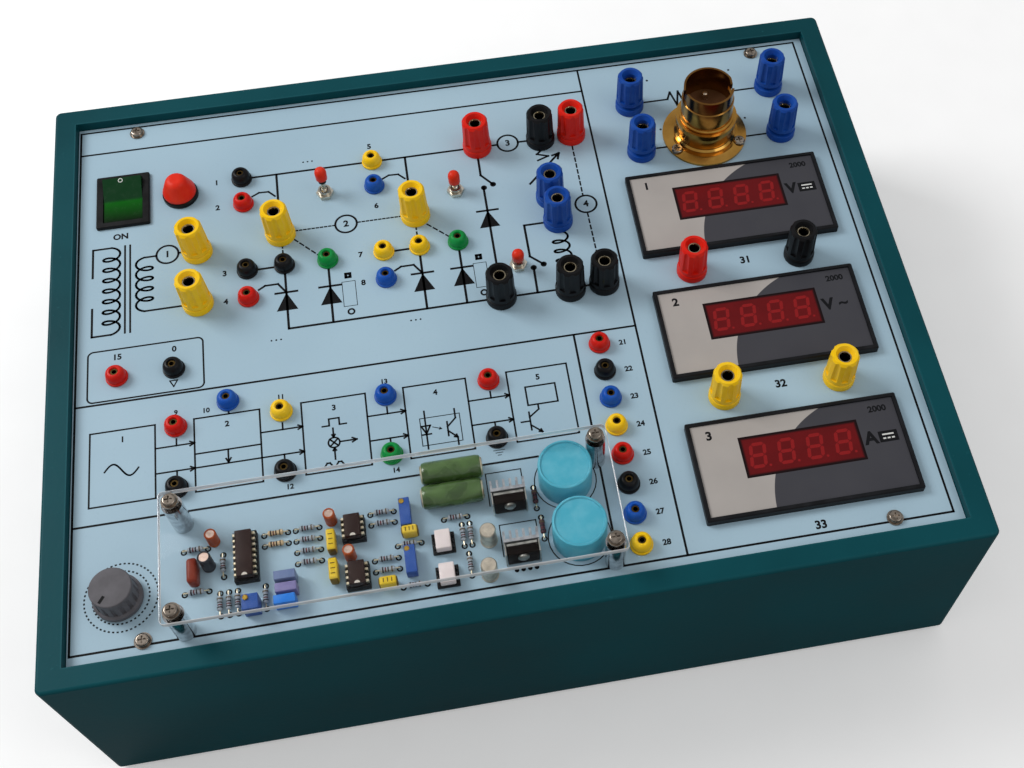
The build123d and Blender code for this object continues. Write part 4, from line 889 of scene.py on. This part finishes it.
# Turning knob and its potentiometer.
# A grey grooved knob with a paler cap face and a black pointer line, on a zinc
# plated potentiometer below the panel.
finish_node("phase_potentiometer", toggle_zinc)
finish_node("pot_shaft", plated("shaft_aluminium", "#C9CACA", "#8E9090", 0.25, 0.42))
finish_node("phase_knob", plastic("knob_grey", "#59575B", "#77757A", 0.42, 0.58, 500, 0.06))
pointer = bmesh.new()
knob_face = over_panel(-166.9, -115.3, 13.43) @ Matrix.Rotation(math.radians(236), 4, "Z")
flat_plate(pointer, knob_face @ Matrix.Translation((5.9 * mm, 0, 0)), 3.4, 1.3)
finish_piece("knob_pointer", pointer, black_ink, body="knob", smooth=0)


# Panel meters.
# Three black snap-in housings with square-edged frames, a printed film behind a
# hard clear coat, and four unlit seven-bar digits behind a dark red window.
finish_node("meter_cases", plastic("meter_black", "#0F1013", "#26272B", 0.34, 0.5, 620, 0.03))
meter_middles = [(126.2, 39.4), (126.2, -29.9), (126.2, -101.4)]
film_top, film_depth = 3.2, 1.5
fronts = bmesh.new()
place_map = fronts.loops.layers.uv.new("millimetres")
film_size = Matrix.Diagonal((92 * mm, 44 * mm, film_depth * mm, 1))
for x, y in meter_middles:
    middle = over_panel(x, y, film_top - film_depth / 2)
    plate = bmesh.ops.create_cube(fronts, size=1, matrix=middle @ film_size)
    for vertex in plate["verts"]:
        for corner in vertex.link_loops:
            corner[place_map].uv = (vertex.co.x / mm - x, vertex.co.y / mm - y)


def printed_film():
    """The film's two greys, parted by an arc, and the red window with a dark rim."""
    material, place = new_material("meter_film")
    tree = material.node_tree
    own = tree.nodes.new("ShaderNodeUVMap")
    own.uv_map = "millimetres"
    on_x, on_y = (along_axis(own.outputs["UV"], axis) for axis in "XY")

    def reckon(kind, first, second=0):
        node = tree.nodes.new("ShaderNodeMath")
        node.operation = kind
        for index, value in enumerate((first, second)):
            if isinstance(value, bpy.types.NodeSocket):
                tree.links.new(value, node.inputs[index])
            else:
                node.inputs[index].default_value = value
        return node.outputs["Value"]

    across, along = reckon("ADD", on_x, -33.8), reckon("ADD", on_y, 24.6)
    from_arc = reckon("SQRT", reckon("ADD", reckon("POWER", across, 2), reckon("POWER", along, 2)))
    cloud = noise(place, 45)
    beige = blend(cloud, "#B1ABA6", "#A19B97")
    grey = blend(cloud, "#46464B", "#3D3D43")
    colour = blend(remap(from_arc, 51.1, 51.3, 1, 0), beige, grey)
    side = reckon("ABSOLUTE", reckon("ADD", on_x, -0.5))
    rise = reckon("ABSOLUTE", reckon("ADD", on_y, -3.6))
    edge = reckon("MAXIMUM", reckon("ADD", side, -26.9), reckon("ADD", rise, -10))
    red = blend(noise(place, 90, 2), "#6E0F13", "#560A0E")
    red = blend(remap(edge, -1.9, -0.9, 0, 1), red, "#150507")
    colour = blend(remap(edge, -0.05, 0.05, 1, 0), colour, red)
    grain = noise(place, 900)
    gloss, relief = remap(grain, 0.3, 0.7, 0.3, 0.44), bump(grain, 0.1, 0.02 * mm)
    return surface(material, colour, gloss, relief, Specular_IOR_Level=0.14)


finish_piece("meter_films", fronts, printed_film(), "meter_windows")


# Digits.
# The unlit bars behind the red window, leaning a little, each digit with its point.
def bar_shape(shape, x, y, half, upright):
    """One bar with pointed ends, level or upright, on the lean of the digits."""
    lean = math.tan(math.radians(8))
    half_width = 0.8
    waist = half - half_width
    tips = [
        (-half, 0), (-waist, -half_width), (waist, -half_width),
        (half, 0), (waist, half_width), (-waist, half_width),
    ]
    corners = []
    for u, v in tips:
        across, along = (v, u) if upright else (u, v)
        along += y
        corners.append(shape.verts.new(((x + across + along * lean) * mm, along * mm, 0)))
    shape.faces.new(corners)


digit_row = bmesh.new()
for start in (-19.3, -6.6, 6.3, 19):
    for level in (-5.4, 0, 5.4):
        bar_shape(digit_row, start, level, 2.75, False)
    for level in (-2.7, 2.7):
        for side in (-3, 3):
            bar_shape(digit_row, start + side, level, 2.55, True)
    point = Matrix.Translation(((start + 4.3) * mm, -5.5 * mm, 0))
    bmesh.ops.create_circle(digit_row, cap_ends=True, segments=12, radius=0.6 * mm, matrix=point)
digits = bmesh.new()
on_film = film_top + 0.02
stand_at(digits, shape_to_mesh(digit_row, "digit_row"), [(x, y + 3.8) for x, y in meter_middles], on_film)
face_up(digits)
finish_piece("meter_digits", digits, screen_ink("unlit_bars", "#8A1A1C", "#761518"), smooth=0)


# Signs on the films.
# The unit and the kind of current of each meter, with plain numbers in the corners.
signs, bright_signs = bmesh.new(), bmesh.new()
for count, (unit, (x, y)) in enumerate(zip("VVA", meter_middles), 1):
    print_text(signs, unit, x + 31.4, y + 3.2, 6.2, on_film)
    print_text(signs, "2000", x + 38, y + 17.2, 3, on_film)
    print_text(signs, str(count), x - 38.5, y + 16.4, 4.2, on_film)
    if count == 2:
        print_text(signs, "~", x + 38.6, y + 3.2, 5.2, on_film)
    else:
        flat_plate(signs, over_panel(x + 39.3, y + 3.2, on_film), 8.6, 5.4)
        flat_plate(bright_signs, over_panel(x + 39.3, y + 4.2, on_film + 0.02), 5.2, 0.7)
        for shift in (-1.95, 0, 1.95):
            flat_plate(bright_signs, over_panel(x + 39.3 + shift, y + 2.3, on_film + 0.02), 1.3, 0.7)
face_up(signs)
face_up(bright_signs)
finish_piece("meter_signs", signs, screen_ink("film_ink", "#101114", "#1E1F24"), smooth=0)
film_white = screen_ink("film_white", "#D9D9D6", "#BEBEBA")
finish_piece("meter_bright_signs", bright_signs, film_white, smooth=0)


# Lamp holder.
# A spun and polished brass shell with a bayonet barrel. The barrel has browned
# from the lamp's heat, the insulating core inside it is dark brown.
def browned_brass():
    """Brass that turns to a deep brown tint up the barrel and inside it."""
    material, place = new_material("lamp_brass")
    cloud = noise(place, 90, 4)
    stain = remap(cloud, 0.35, 0.7, 0, 1)
    brass = blend(stain, "#C4954A", "#9C7030")
    brown = blend(stain, "#8C6434", "#6A4722")
    burnt = remap(along_axis(place, "Z"), deck + 24.5 * mm, deck + 28 * mm, 0, 1)
    gloss, scratch = remap(cloud, 0.3, 0.75, 0.12, 0.26), bump(noise(place, 1500), 0.12, 0.02 * mm)
    return surface(material, blend(burnt, brass, brown), gloss, scratch, Metallic=1)


finish_node("lamp_holder_shell", browned_brass())
lamp_core = plastic("lamp_core", "#5E3F28", "#74523A", 0.35, 0.55, relief=0.05)
finish_node("lamp_holder_insert", lamp_core)
contact_metal = plated("lamp_contact_metal", "#E3D6C4", "#B49C84", 0.2, 0.36)
finish_node("lamp_contact_front", contact_metal)
finish_node("lamp_contact_rear", contact_metal)


# Clear cover.
# A polished acrylic sheet with bright sawn edges, on four plated pillars that are
# riveted to the panel, each with a pan screw and a washer.
def soften(shape, edges, reach, segments):
    """Rounds off some edges of a shape, by a reach in millimetres."""
    bmesh.ops.bevel(
        shape, geom=edges, offset=reach * mm, segments=segments, profile=0.5, affect="EDGES", material=-1
    )


sheet = bmesh.new()
sheet_low, sheet_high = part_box("cover_sheet")
sheet_middle = Matrix.Translation((sheet_low + sheet_high) / 2)
sheet_size = Matrix.Diagonal((*(sheet_high - sheet_low), 1))
bmesh.ops.create_cube(sheet, size=1, matrix=sheet_middle @ sheet_size)
uprights = [edge for edge in sheet.edges if abs(edge.verts[0].co.z - edge.verts[1].co.z) > 1 * mm]
soften(sheet, uprights, 2, 5)
level = [edge for edge in sheet.edges if edge.verts[0].co.z == edge.verts[1].co.z]
soften(sheet, [edge for edge in level if abs(edge.calc_face_angle(0) - math.pi / 2) < 0.1], 0.2, 2)
for face in sheet.faces:
    face.material_index = 0 if abs(face.normal.z) > 0.98 else 1


def clear_sheet(name, tint, see_through, smooth, clearness, bending):
    """Acrylic; a flat face of a thin sheet hardly shifts what lies behind it."""
    material, place = new_material(name)
    haze = noise(place, 30, 4)
    colour, gloss = blend(haze, tint, "#F2F8FA"), remap(haze, 0.35, 0.7, smooth, smooth + 0.02)
    optics = {"Transmission_Weight": clearness, "IOR": bending, "Alpha": see_through}
    polish = {"Coat_Weight": 1, "Coat_Roughness": 0.02}
    scuff = bump(noise(place, 700, 2), 0.04, 0.01 * mm)
    return surface(material, colour, gloss, scuff, **optics, **polish)


acrylic_face = clear_sheet("acrylic_face", "#F4F9FB", 0.08, 0, 1, 1.01)
sheet_piece = finish_piece("cover_sheet_clear", sheet, acrylic_face, "cover_sheet")
sheet_piece.data.materials.append(clear_sheet("acrylic_edge", "#FFF8F8", 0.9, 0.25, 0.2, 1.49))
finish_node("cover_pillars", plated("pillar_nickel", "#D9D9DB", "#A3A5A8", 0.08, 0.2))


# Chips and their sockets.
# Dark brown moulded packages with pale legs, pushed in black sockets, with a
# notch at the front end of each.
def soft_block(target, x, y, foot, size, round_by=0.3, segments=2, turn=0):
    """A box with softened edges, in millimetres, standing over the panel."""
    one = bmesh.new()
    bmesh.ops.create_cube(one, size=1, matrix=Matrix.Diagonal((*(part * mm for part in size), 1)))
    soften(one, one.edges[:], round_by, segments)
    spin = Matrix.Rotation(math.radians(turn), 4, "Z")
    bmesh.ops.transform(one, matrix=over_panel(x, y, foot + size[2] / 2) @ spin, verts=one.verts[:])
    block = shape_to_mesh(one, "block")
    target.from_mesh(block)
    bpy.data.meshes.remove(block)


chips, chip_sockets, chip_legs, chip_marks = bmesh.new(), bmesh.new(), bmesh.new(), bmesh.new()
leg_pitch = 2.54
chip_rows = [(-114.4, -106.6, 8, 22, 20.5), (-69.3, -101.9, 4, 11, 10.2), (-69.2, -123.3, 4, 11, 10.2)]
for x, y, legs, socket_length, length in chip_rows:
    for side in (-1, 1):
        soft_block(chip_sockets, x + side * 3.9, y, 0, (2.2, socket_length, 4), 0.25)
    for end in (-1, 1):
        soft_block(chip_sockets, x, y + end * (socket_length / 2 - 0.9), 0, (6, 1.8, 3.6), 0.25)
    soft_block(chips, x, y, 4.3, (6.8, length, 3.6), 0.35, 3)
    for row in range(legs):
        along = y + (row - (legs - 1) / 2) * leg_pitch
        for side in (-1, 1):
            soft_block(chip_legs, x + side * 4, along, 4, (1.3, 1.15, 2.2), 0.15, 1)
            soft_block(chip_legs, x + side * 3.85, along, 5.9, (1.5, 1.15, 0.35), 0.12, 1)
    notch = over_panel(x, y - length / 2 + 0.1, 7.93)
    disc = bmesh.ops.create_circle(chip_marks, cap_ends=True, segments=24, radius=1.2 * mm, matrix=notch)
    rim = {edge for vertex in disc["verts"] for edge in vertex.link_edges}
    inside = {face for vertex in disc["verts"] for face in vertex.link_faces}
    bmesh.ops.bisect_plane(
        chip_marks,
        geom=[*disc["verts"], *rim, *inside],
        plane_co=notch.translation,
        plane_no=(0, -1, 0),
        clear_outer=True,
    )
face_up(chip_marks)
dark_package = plastic("package_brown", "#2C1D1A", "#40302B", 0.4, 0.55, 500, 0.03)
finish_piece("chip_packages", chips, dark_package, "semiconductors")
socket_black = plastic("chip_socket_black", "#101012", "#2A2A2D", 0.4, 0.55, 500, 0.03)
finish_piece("chip_sockets", chip_sockets, socket_black, "semiconductors")
tinned = plated("tinned_legs", "#F0E6CC", "#C9BC9C", 0.3, 0.5)
finish_piece("chip_legs", chip_legs, tinned, "semiconductors")
finish_piece("chip_marks", chip_marks, screen_ink("chip_mark_white", "#CFC9BE", "#A9A196"), smooth=0)


# Optocouplers.
# Two pale moulded packages with dark legs, each in a short black socket.
optos, opto_legs = bmesh.new(), bmesh.new()
for x, y in ((-32.7, -114.2), (-32.7, -129.3)):
    soft_block(opto_legs, x, y, 0, (9.6, 9.2, 1.9), 0.25)
    soft_block(optos, x, y, 2.2, (6.4, 8.6, 4.4), 0.5, 3)
    for row in (-1, 0, 1):
        for side in (-1, 1):
            soft_block(opto_legs, x + side * 3.7, y + row * leg_pitch, 1.8, (0.9, 1.2, 2.6), 0.12, 1)
opto_white = plastic("opto_pale", "#E8DCDA", "#D4C6C4", 0.4, 0.55, 420, 0.03)
finish_piece("optocouplers", optos, opto_white, "semiconductors")
finish_piece("optocoupler_sockets", opto_legs, socket_black, "semiconductors")


# Power transistors.
# Black flat packages on their metal tabs, screwed to finned aluminium sinks.
transistors, transistor_metal = bmesh.new(), bmesh.new()
tab_screw = turned_shape([(0, 0), (2.4, 0), (2.4, 0.7), (1.7, 1.3), (0, 1.5)], 24)
tab_screw.transform(Matrix.Rotation(math.pi / 2, 4, "X"))
for x, y in ((-2.8, -102.4), (-0.6, -126.2)):
    soft_block(transistors, x, y - 0.6, 1.6, (13.2, 4.2, 10.2), 0.5, 3)
    soft_block(transistor_metal, x, y + 1.9, 1.6, (13, 1.2, 10.3), 0.2, 1)
    for shift in (-4.4, 0, 4.4):
        soft_block(transistor_metal, x + shift, y, 0, (1.1, 0.6, 2), 0.1, 1)
    for side in (-1, 1):
        soft_block(transistor_metal, x + side * 7.1, y - 0.1, 0.6, (0.6, 5.6, 11.8), 0.1, 1)
    stand_at(transistor_metal, tab_screw, [(x, y - 2.7)], 8.6)
transistor_black = plastic("transistor_black", "#110C0B", "#251D1A", 0.32, 0.48, 420, 0.03, 0.04)
finish_piece("transistor_packages", transistors, transistor_black, "semiconductors")
finish_piece("transistor_metal", transistor_metal, zinc, "semiconductors")
finish_node("heat_sinks", plated("sink_aluminium", "#C6C8CC", "#92959B", 0.32, 0.52))


# Round metal cans.
# Two small plated cans with a rolled rim at the foot.
round_cans = bmesh.new()
can_profile = [(0, 0), (3.7, 0), (3.7, 0.7), (3.4, 1), (3.4, 10.4), (3, 10.9), (0, 10.9)]
stand_at(round_cans, turned_shape(can_profile, 36), [(-13.7, -115.6), (-15.3, -131)])
can_metal = plated("can_metal", "#DDD3C2", "#B4AA9A", 0.34, 0.5)
finish_piece("metal_cans", round_cans, can_metal, "semiconductors")


# Electrolytic capacitors.
# Cans in orange and dark sleeves, a scored metal top inside the rolled rim of each.
def sleeved_can(x, y, radius, height, sleeve, top):
    """A can in a coloured sleeve, with a cross scored in its top."""
    rim = radius - 0.7
    profile = [
        (0, 0), (radius - 0.15, 0), (radius, 0.4), (radius, 1), (radius - 0.25, 1.3),
        (radius - 0.25, 1.7), (radius, 2), (radius, height - 0.4), (radius - 0.35, height),
        (rim, height), (rim, height - 0.3), (0, height - 0.3),
    ]
    stand_at(sleeve, turned_shape(profile, 32), [(x, y)])
    disc = over_panel(x, y, height - 0.25)
    bmesh.ops.create_circle(top, cap_ends=True, segments=32, radius=rim * mm, matrix=disc)
    for turn in (20, 110):
        score = disc @ Matrix.Translation((0, 0, 0.03 * mm)) @ Matrix.Rotation(math.radians(turn), 4, "Z")
        flat_plate(top, score, 1.5 * radius - 1, 0.22)


orange_cans, dark_cans, can_tops = bmesh.new(), bmesh.new(), bmesh.new()
for x, y in ((-127.6, -96.5), (-78.4, -95.6), (-71.6, -113.3)):
    sleeved_can(x, y, 2.5, 9, orange_cans, can_tops)
sleeved_can(-130, -107.4, 2.75, 11, dark_cans, can_tops)
orange_sleeve = plastic("sleeve_orange", "#A3481F", "#B96640")
finish_piece("orange_capacitors", orange_cans, orange_sleeve, "capacitors")
dark_sleeve = plastic("sleeve_dark", "#2E3036", "#474A52")
finish_piece("dark_capacitors", dark_cans, dark_sleeve, "capacitors")
face_up(can_tops)
top_metal = plated("can_tops", "#D8BEB0", "#B0968A", 0.34, 0.5)
finish_piece("capacitor_tops", can_tops, top_metal, "capacitors")


# Film and box capacitors.
# One dipped in red, four wrapped in yellow film with filled ends, three moulded boxes.
dipped = bmesh.new()
soft_block(dipped, -135.8, -110.7, 0.6, (4.4, 10.8, 7.4), 1.4, 4)
dipped_red = plastic("dipped_red", "#7E2F20", "#96503E", 0.22, 0.36, 300, 0.05)
finish_piece("dipped_capacitor", dipped, dipped_red, "capacitors")

films, film_ends = bmesh.new(), bmesh.new()
film_blocks = [
    (-78.7, -106.4, 10.2, 90), (-78.7, -119.6, 10.2, 90),
    (-45.9, -107.4, 7.1, 0), (-57, -128.6, 7.8, 0),
]
for x, y, length, turn in film_blocks:
    soft_block(films, x, y, 0.5, (length - 0.7, 3.8, 6.4), 0.9, 4, turn)
    soft_block(film_ends, x, y, 0.6, (length, 3.3, 5.9), 0.7, 3, turn)
    block_top = over_panel(x, y, 6.93) @ Matrix.Rotation(math.radians(turn), 4, "Z")
    for shift in (-0.22, 0, 0.22):
        flat_plate(film_ends, block_top @ Matrix.Translation((shift * length * mm, 0, 0)), 0.45, 1.9)
film_yellow = plastic("film_yellow", "#DDBB2E", "#E8D070", 0.26, 0.4, 420, 0.02)
finish_piece("film_capacitors", films, film_yellow, "capacitors")
epoxy = plastic("film_ends_epoxy", "#6B551B", "#8A7330", 0.4, 0.6, 420, 0.04)
finish_piece("film_capacitor_ends", film_ends, epoxy, "capacitors")

boxes = [
    ("box_capacitor_grey", -98.4, -119.2, "#66779F", "#8E9BBA"),
    ("box_capacitor_violet", -98.2, -124.6, "#75709F", "#9A95BD"),
    ("box_capacitor_blue", -99, -129.7, "#1F74D6", "#5C9BE3"),
]
for name, x, y, colour, wear_and_edge_light in boxes:
    box_shape = bmesh.new()
    soft_block(box_shape, x, y, 0.4, (8.8, 3.8, 7.5), 0.3, 3)
    for side in (-1, 1):
        soft_block(box_shape, x + side * 3.6, y, 0, (1.2, 3.2, 0.6), 0.1, 1)
    box_plastic = plastic(f"{name}_shell", colour, wear_and_edge_light)
    finish_piece(name, box_shape, box_plastic, "capacitors")


# Trimmers.
# Blue multi-turn boxes with a slotted brass screw, two lying flat, one upright.
trimmers, trimmer_screws = bmesh.new(), bmesh.new()
screw_shape = turned_shape([(0, 0), (1.15, 0), (1.15, 0.9), (0.95, 1.1), (0, 1.1)], 20)
flat_screw = screw_shape.copy()
flat_screw.transform(Matrix.Rotation(-math.pi / 2, 4, "X"))
for x, y in ((-47, -98.7), (-46.9, -120.6)):
    soft_block(trimmers, x, y, 0.5, (4.6, 12.4, 5.8), 0.3, 3)
    for side in (-1, 1):
        soft_block(trimmers, x, y + side * 4.6, 0, (4, 1.4, 0.8), 0.1, 1)
    stand_at(trimmer_screws, flat_screw, [(x - 1.1, y + 5.2)], 4.9)
    stand_at(trimmer_screws, screw_shape, [(x - 1, y + 4.6)], 5.6, 0.6)
soft_block(trimmers, -112.6, -129, 0.5, (6.6, 6.6, 8.6), 0.3, 3)
stand_at(trimmer_screws, screw_shape, [(-114.2, -127.4)], 8.85, 0.4)
trimmer_blue = plastic("trimmer_blue", "#34559C", "#5A74B0", relief=0.03)
finish_piece("trimmer_boxes", trimmers, trimmer_blue, "trimmers")
trimmer_brass = plated("trimmer_brass", "#D9B457", "#A98332", 0.2, 0.36)
finish_piece("trimmer_screws", trimmer_screws, trimmer_brass, "trimmers")


# Small resistors.
# Film resistors with swollen ends and colour bands, on bent tinned leads.
def lay(shape, x, y, height, turn):
    """A turned shape laid down along X, then turned about Z, at a place."""
    laid = shape.copy()
    laid.transform(Matrix.Rotation(math.pi / 2, 4, "Y"))
    laid.transform(Matrix.Rotation(math.radians(turn), 4, "Z"))
    laid.transform(over_panel(x, y, height))
    return laid


lead_height = 1.6
body_half, swell, waist = 3.2, 1.2, 1
half_body = [(0.55 * swell, 0), (0.92 * swell, 0.35), (swell, 0.9), (0.94 * swell, 1.5), (waist, 1.9)]
body_profile = [(0, -body_half), *((radius, inset - body_half) for radius, inset in half_body)]
body_profile += [(radius, body_half - inset) for radius, inset in reversed(half_body)] + [(0, body_half)]
body_shape = turned_shape(body_profile, 20)
beige_rows = [(-101.9, -97.3, 0), (-101.9, -102.3, 0)]
violet_rows = [(8.3, -99.6, 90), (9.4, -114, 90)]
resistor_groups = [
    ("pale", "#98A2AB", "#B4BCC4", [row for row in pad_rows if row not in beige_rows + violet_rows]),
    ("beige", "#C9B18C", "#D8C6A6", beige_rows),
    ("violet", "#4E3038", "#6A4850", violet_rows),
]
for group, colour, wear_and_edge_light, rows in resistor_groups:
    bodies = bmesh.new()
    for x, y, turn in rows:
        bodies.from_mesh(lay(body_shape, x, y, lead_height, turn))
    resistor_paint = plastic(f"resistor_{group}", colour, wear_and_edge_light, 0.35, 0.5, 420, 0.02)
    finish_piece(f"small_resistors_{group}", bodies, resistor_paint, "resistors")
band_colours = {
    "dark": ("#26242A", {-1.9: swell, 0.3: waist}),
    "maroon": ("#5A2A2E", {-0.8: waist}),
    "gold": ("#5E5240", {1.9: swell}),
}
for name, (colour, spots) in band_colours.items():
    bands = bmesh.new()
    for along, radius in spots.items():
        inner, outer, front, back = radius - 0.2, radius + 0.02, along - 0.275, along + 0.275
        ring = turned_shape([(inner, front), (outer, front), (outer, back), (inner, back)], 16)
        for x, y, turn in pad_rows:
            bands.from_mesh(lay(ring, x, y, lead_height, turn))
    band_ink = screen_ink(f"band_{name}", colour, colour)
    finish_piece(f"resistor_bands_{name}", bands, band_ink, "resistors")
leads = bmesh.new()
lead_shape = turned_shape([(0, -5), (0.3, -5), (0.3, 5), (0, 5)], 10)
drop_shape = turned_shape([(0, 0), (0.3, 0), (0.3, 1.6), (0, 1.75)], 10)
for x, y, turn in pad_rows:
    leads.from_mesh(lay(lead_shape, x, y, lead_height, turn))
    stand_at(leads, drop_shape, pad_pair(x, y, turn))
finish_piece("resistor_leads", leads, tinned, "resistors")


# Wirewound resistors.
# Two large ones in green vitreous enamel with metal end caps.
green_bodies, green_caps = bmesh.new(), bmesh.new()
half_green = [(0, 12.6), (4.6, 12.6), (4.9, 12.2), (5, 11.6), (5.2, 10.8)]
green_profile = [(radius, -along) for radius, along in half_green] + half_green[::-1]
cap_profile = [(0, -0.6), (3.6, -0.6), (4.1, -0.2), (4.1, 0.9), (0, 0.9)]
for x, y in ((-25.3, -82.9), (-26.2, -93.9)):
    green_bodies.from_mesh(lay(turned_shape(green_profile, 40), x, y, 5.2, 0))
    for side, turn in ((-1, 0), (1, 180)):
        green_caps.from_mesh(lay(turned_shape(cap_profile, 32), x + side * 12.8, y, 5.2, turn))


def enamel(name, deep, light):
    material, place = new_material(name)
    pool = noise(place, 120, 4)
    colour = blend(remap(pool, 0.35, 0.7, 0, 1), deep, light)
    gloss, ripple = remap(pool, 0.3, 0.7, 0.2, 0.38), bump(noise(place, 260, 2), 0.35, 0.15 * mm)
    return surface(material, colour, gloss, ripple, Coat_Weight=0.4, Coat_Roughness=0.15)


green_enamel = enamel("green_enamel", "#2F4A1C", "#4F7034")
finish_piece("wirewound_bodies", green_bodies, green_enamel, "resistors")
finish_piece("wirewound_caps", green_caps, tinned, "resistors")


# Pulse transformers.
# Round cyan cans filled with a paler compound, a thin rim round the top.
pulse_cans = bmesh.new()
pulse_profile = [
    (0, 0), (11.4, 0), (11.6, 0.4), (11.6, 15.2), (11.3, 15.8),
    (10.6, 16), (10.3, 15.7), (10.2, 15.3), (0, 15.3),
]
stand_at(pulse_cans, turned_shape(pulse_profile, 64), pulse_places)
pulse_plastic = plastic("pulse_can_cyan", "#4CABC2", "#7CC2D2", 0.3, 0.46, 420, 0.03)
finish_piece("pulse_transformer_cans", pulse_cans, pulse_plastic, "pulse_transformers")


# Mains transformer.
# A stack of thin steel sheets round a taped winding, inside the case.
def laminations():
    material, place = new_material("core_steel")
    wave = material.node_tree.nodes.new("ShaderNodeTexWave")
    wave.bands_direction = "Y"
    feed(wave, Scale=420, Distortion=0.6, Vector=place)
    rust = noise(place, 140, 5)
    colour = blend(remap(rust, 0.45, 0.75, 0, 1), "#55585C", "#6B4A36")
    gloss, relief = remap(rust, 0.3, 0.7, 0.4, 0.65), bump(wave.outputs["Fac"], 0.5, 0.1 * mm)
    return surface(material, colour, gloss, relief, Metallic=0.8)


finish_node("transformer_core", laminations())
winding_tape = plastic("winding_tape", "#B99B3A", "#8E7428", 0.5, 0.65, 300, 0.1)
finish_node("transformer_winding", winding_tape)
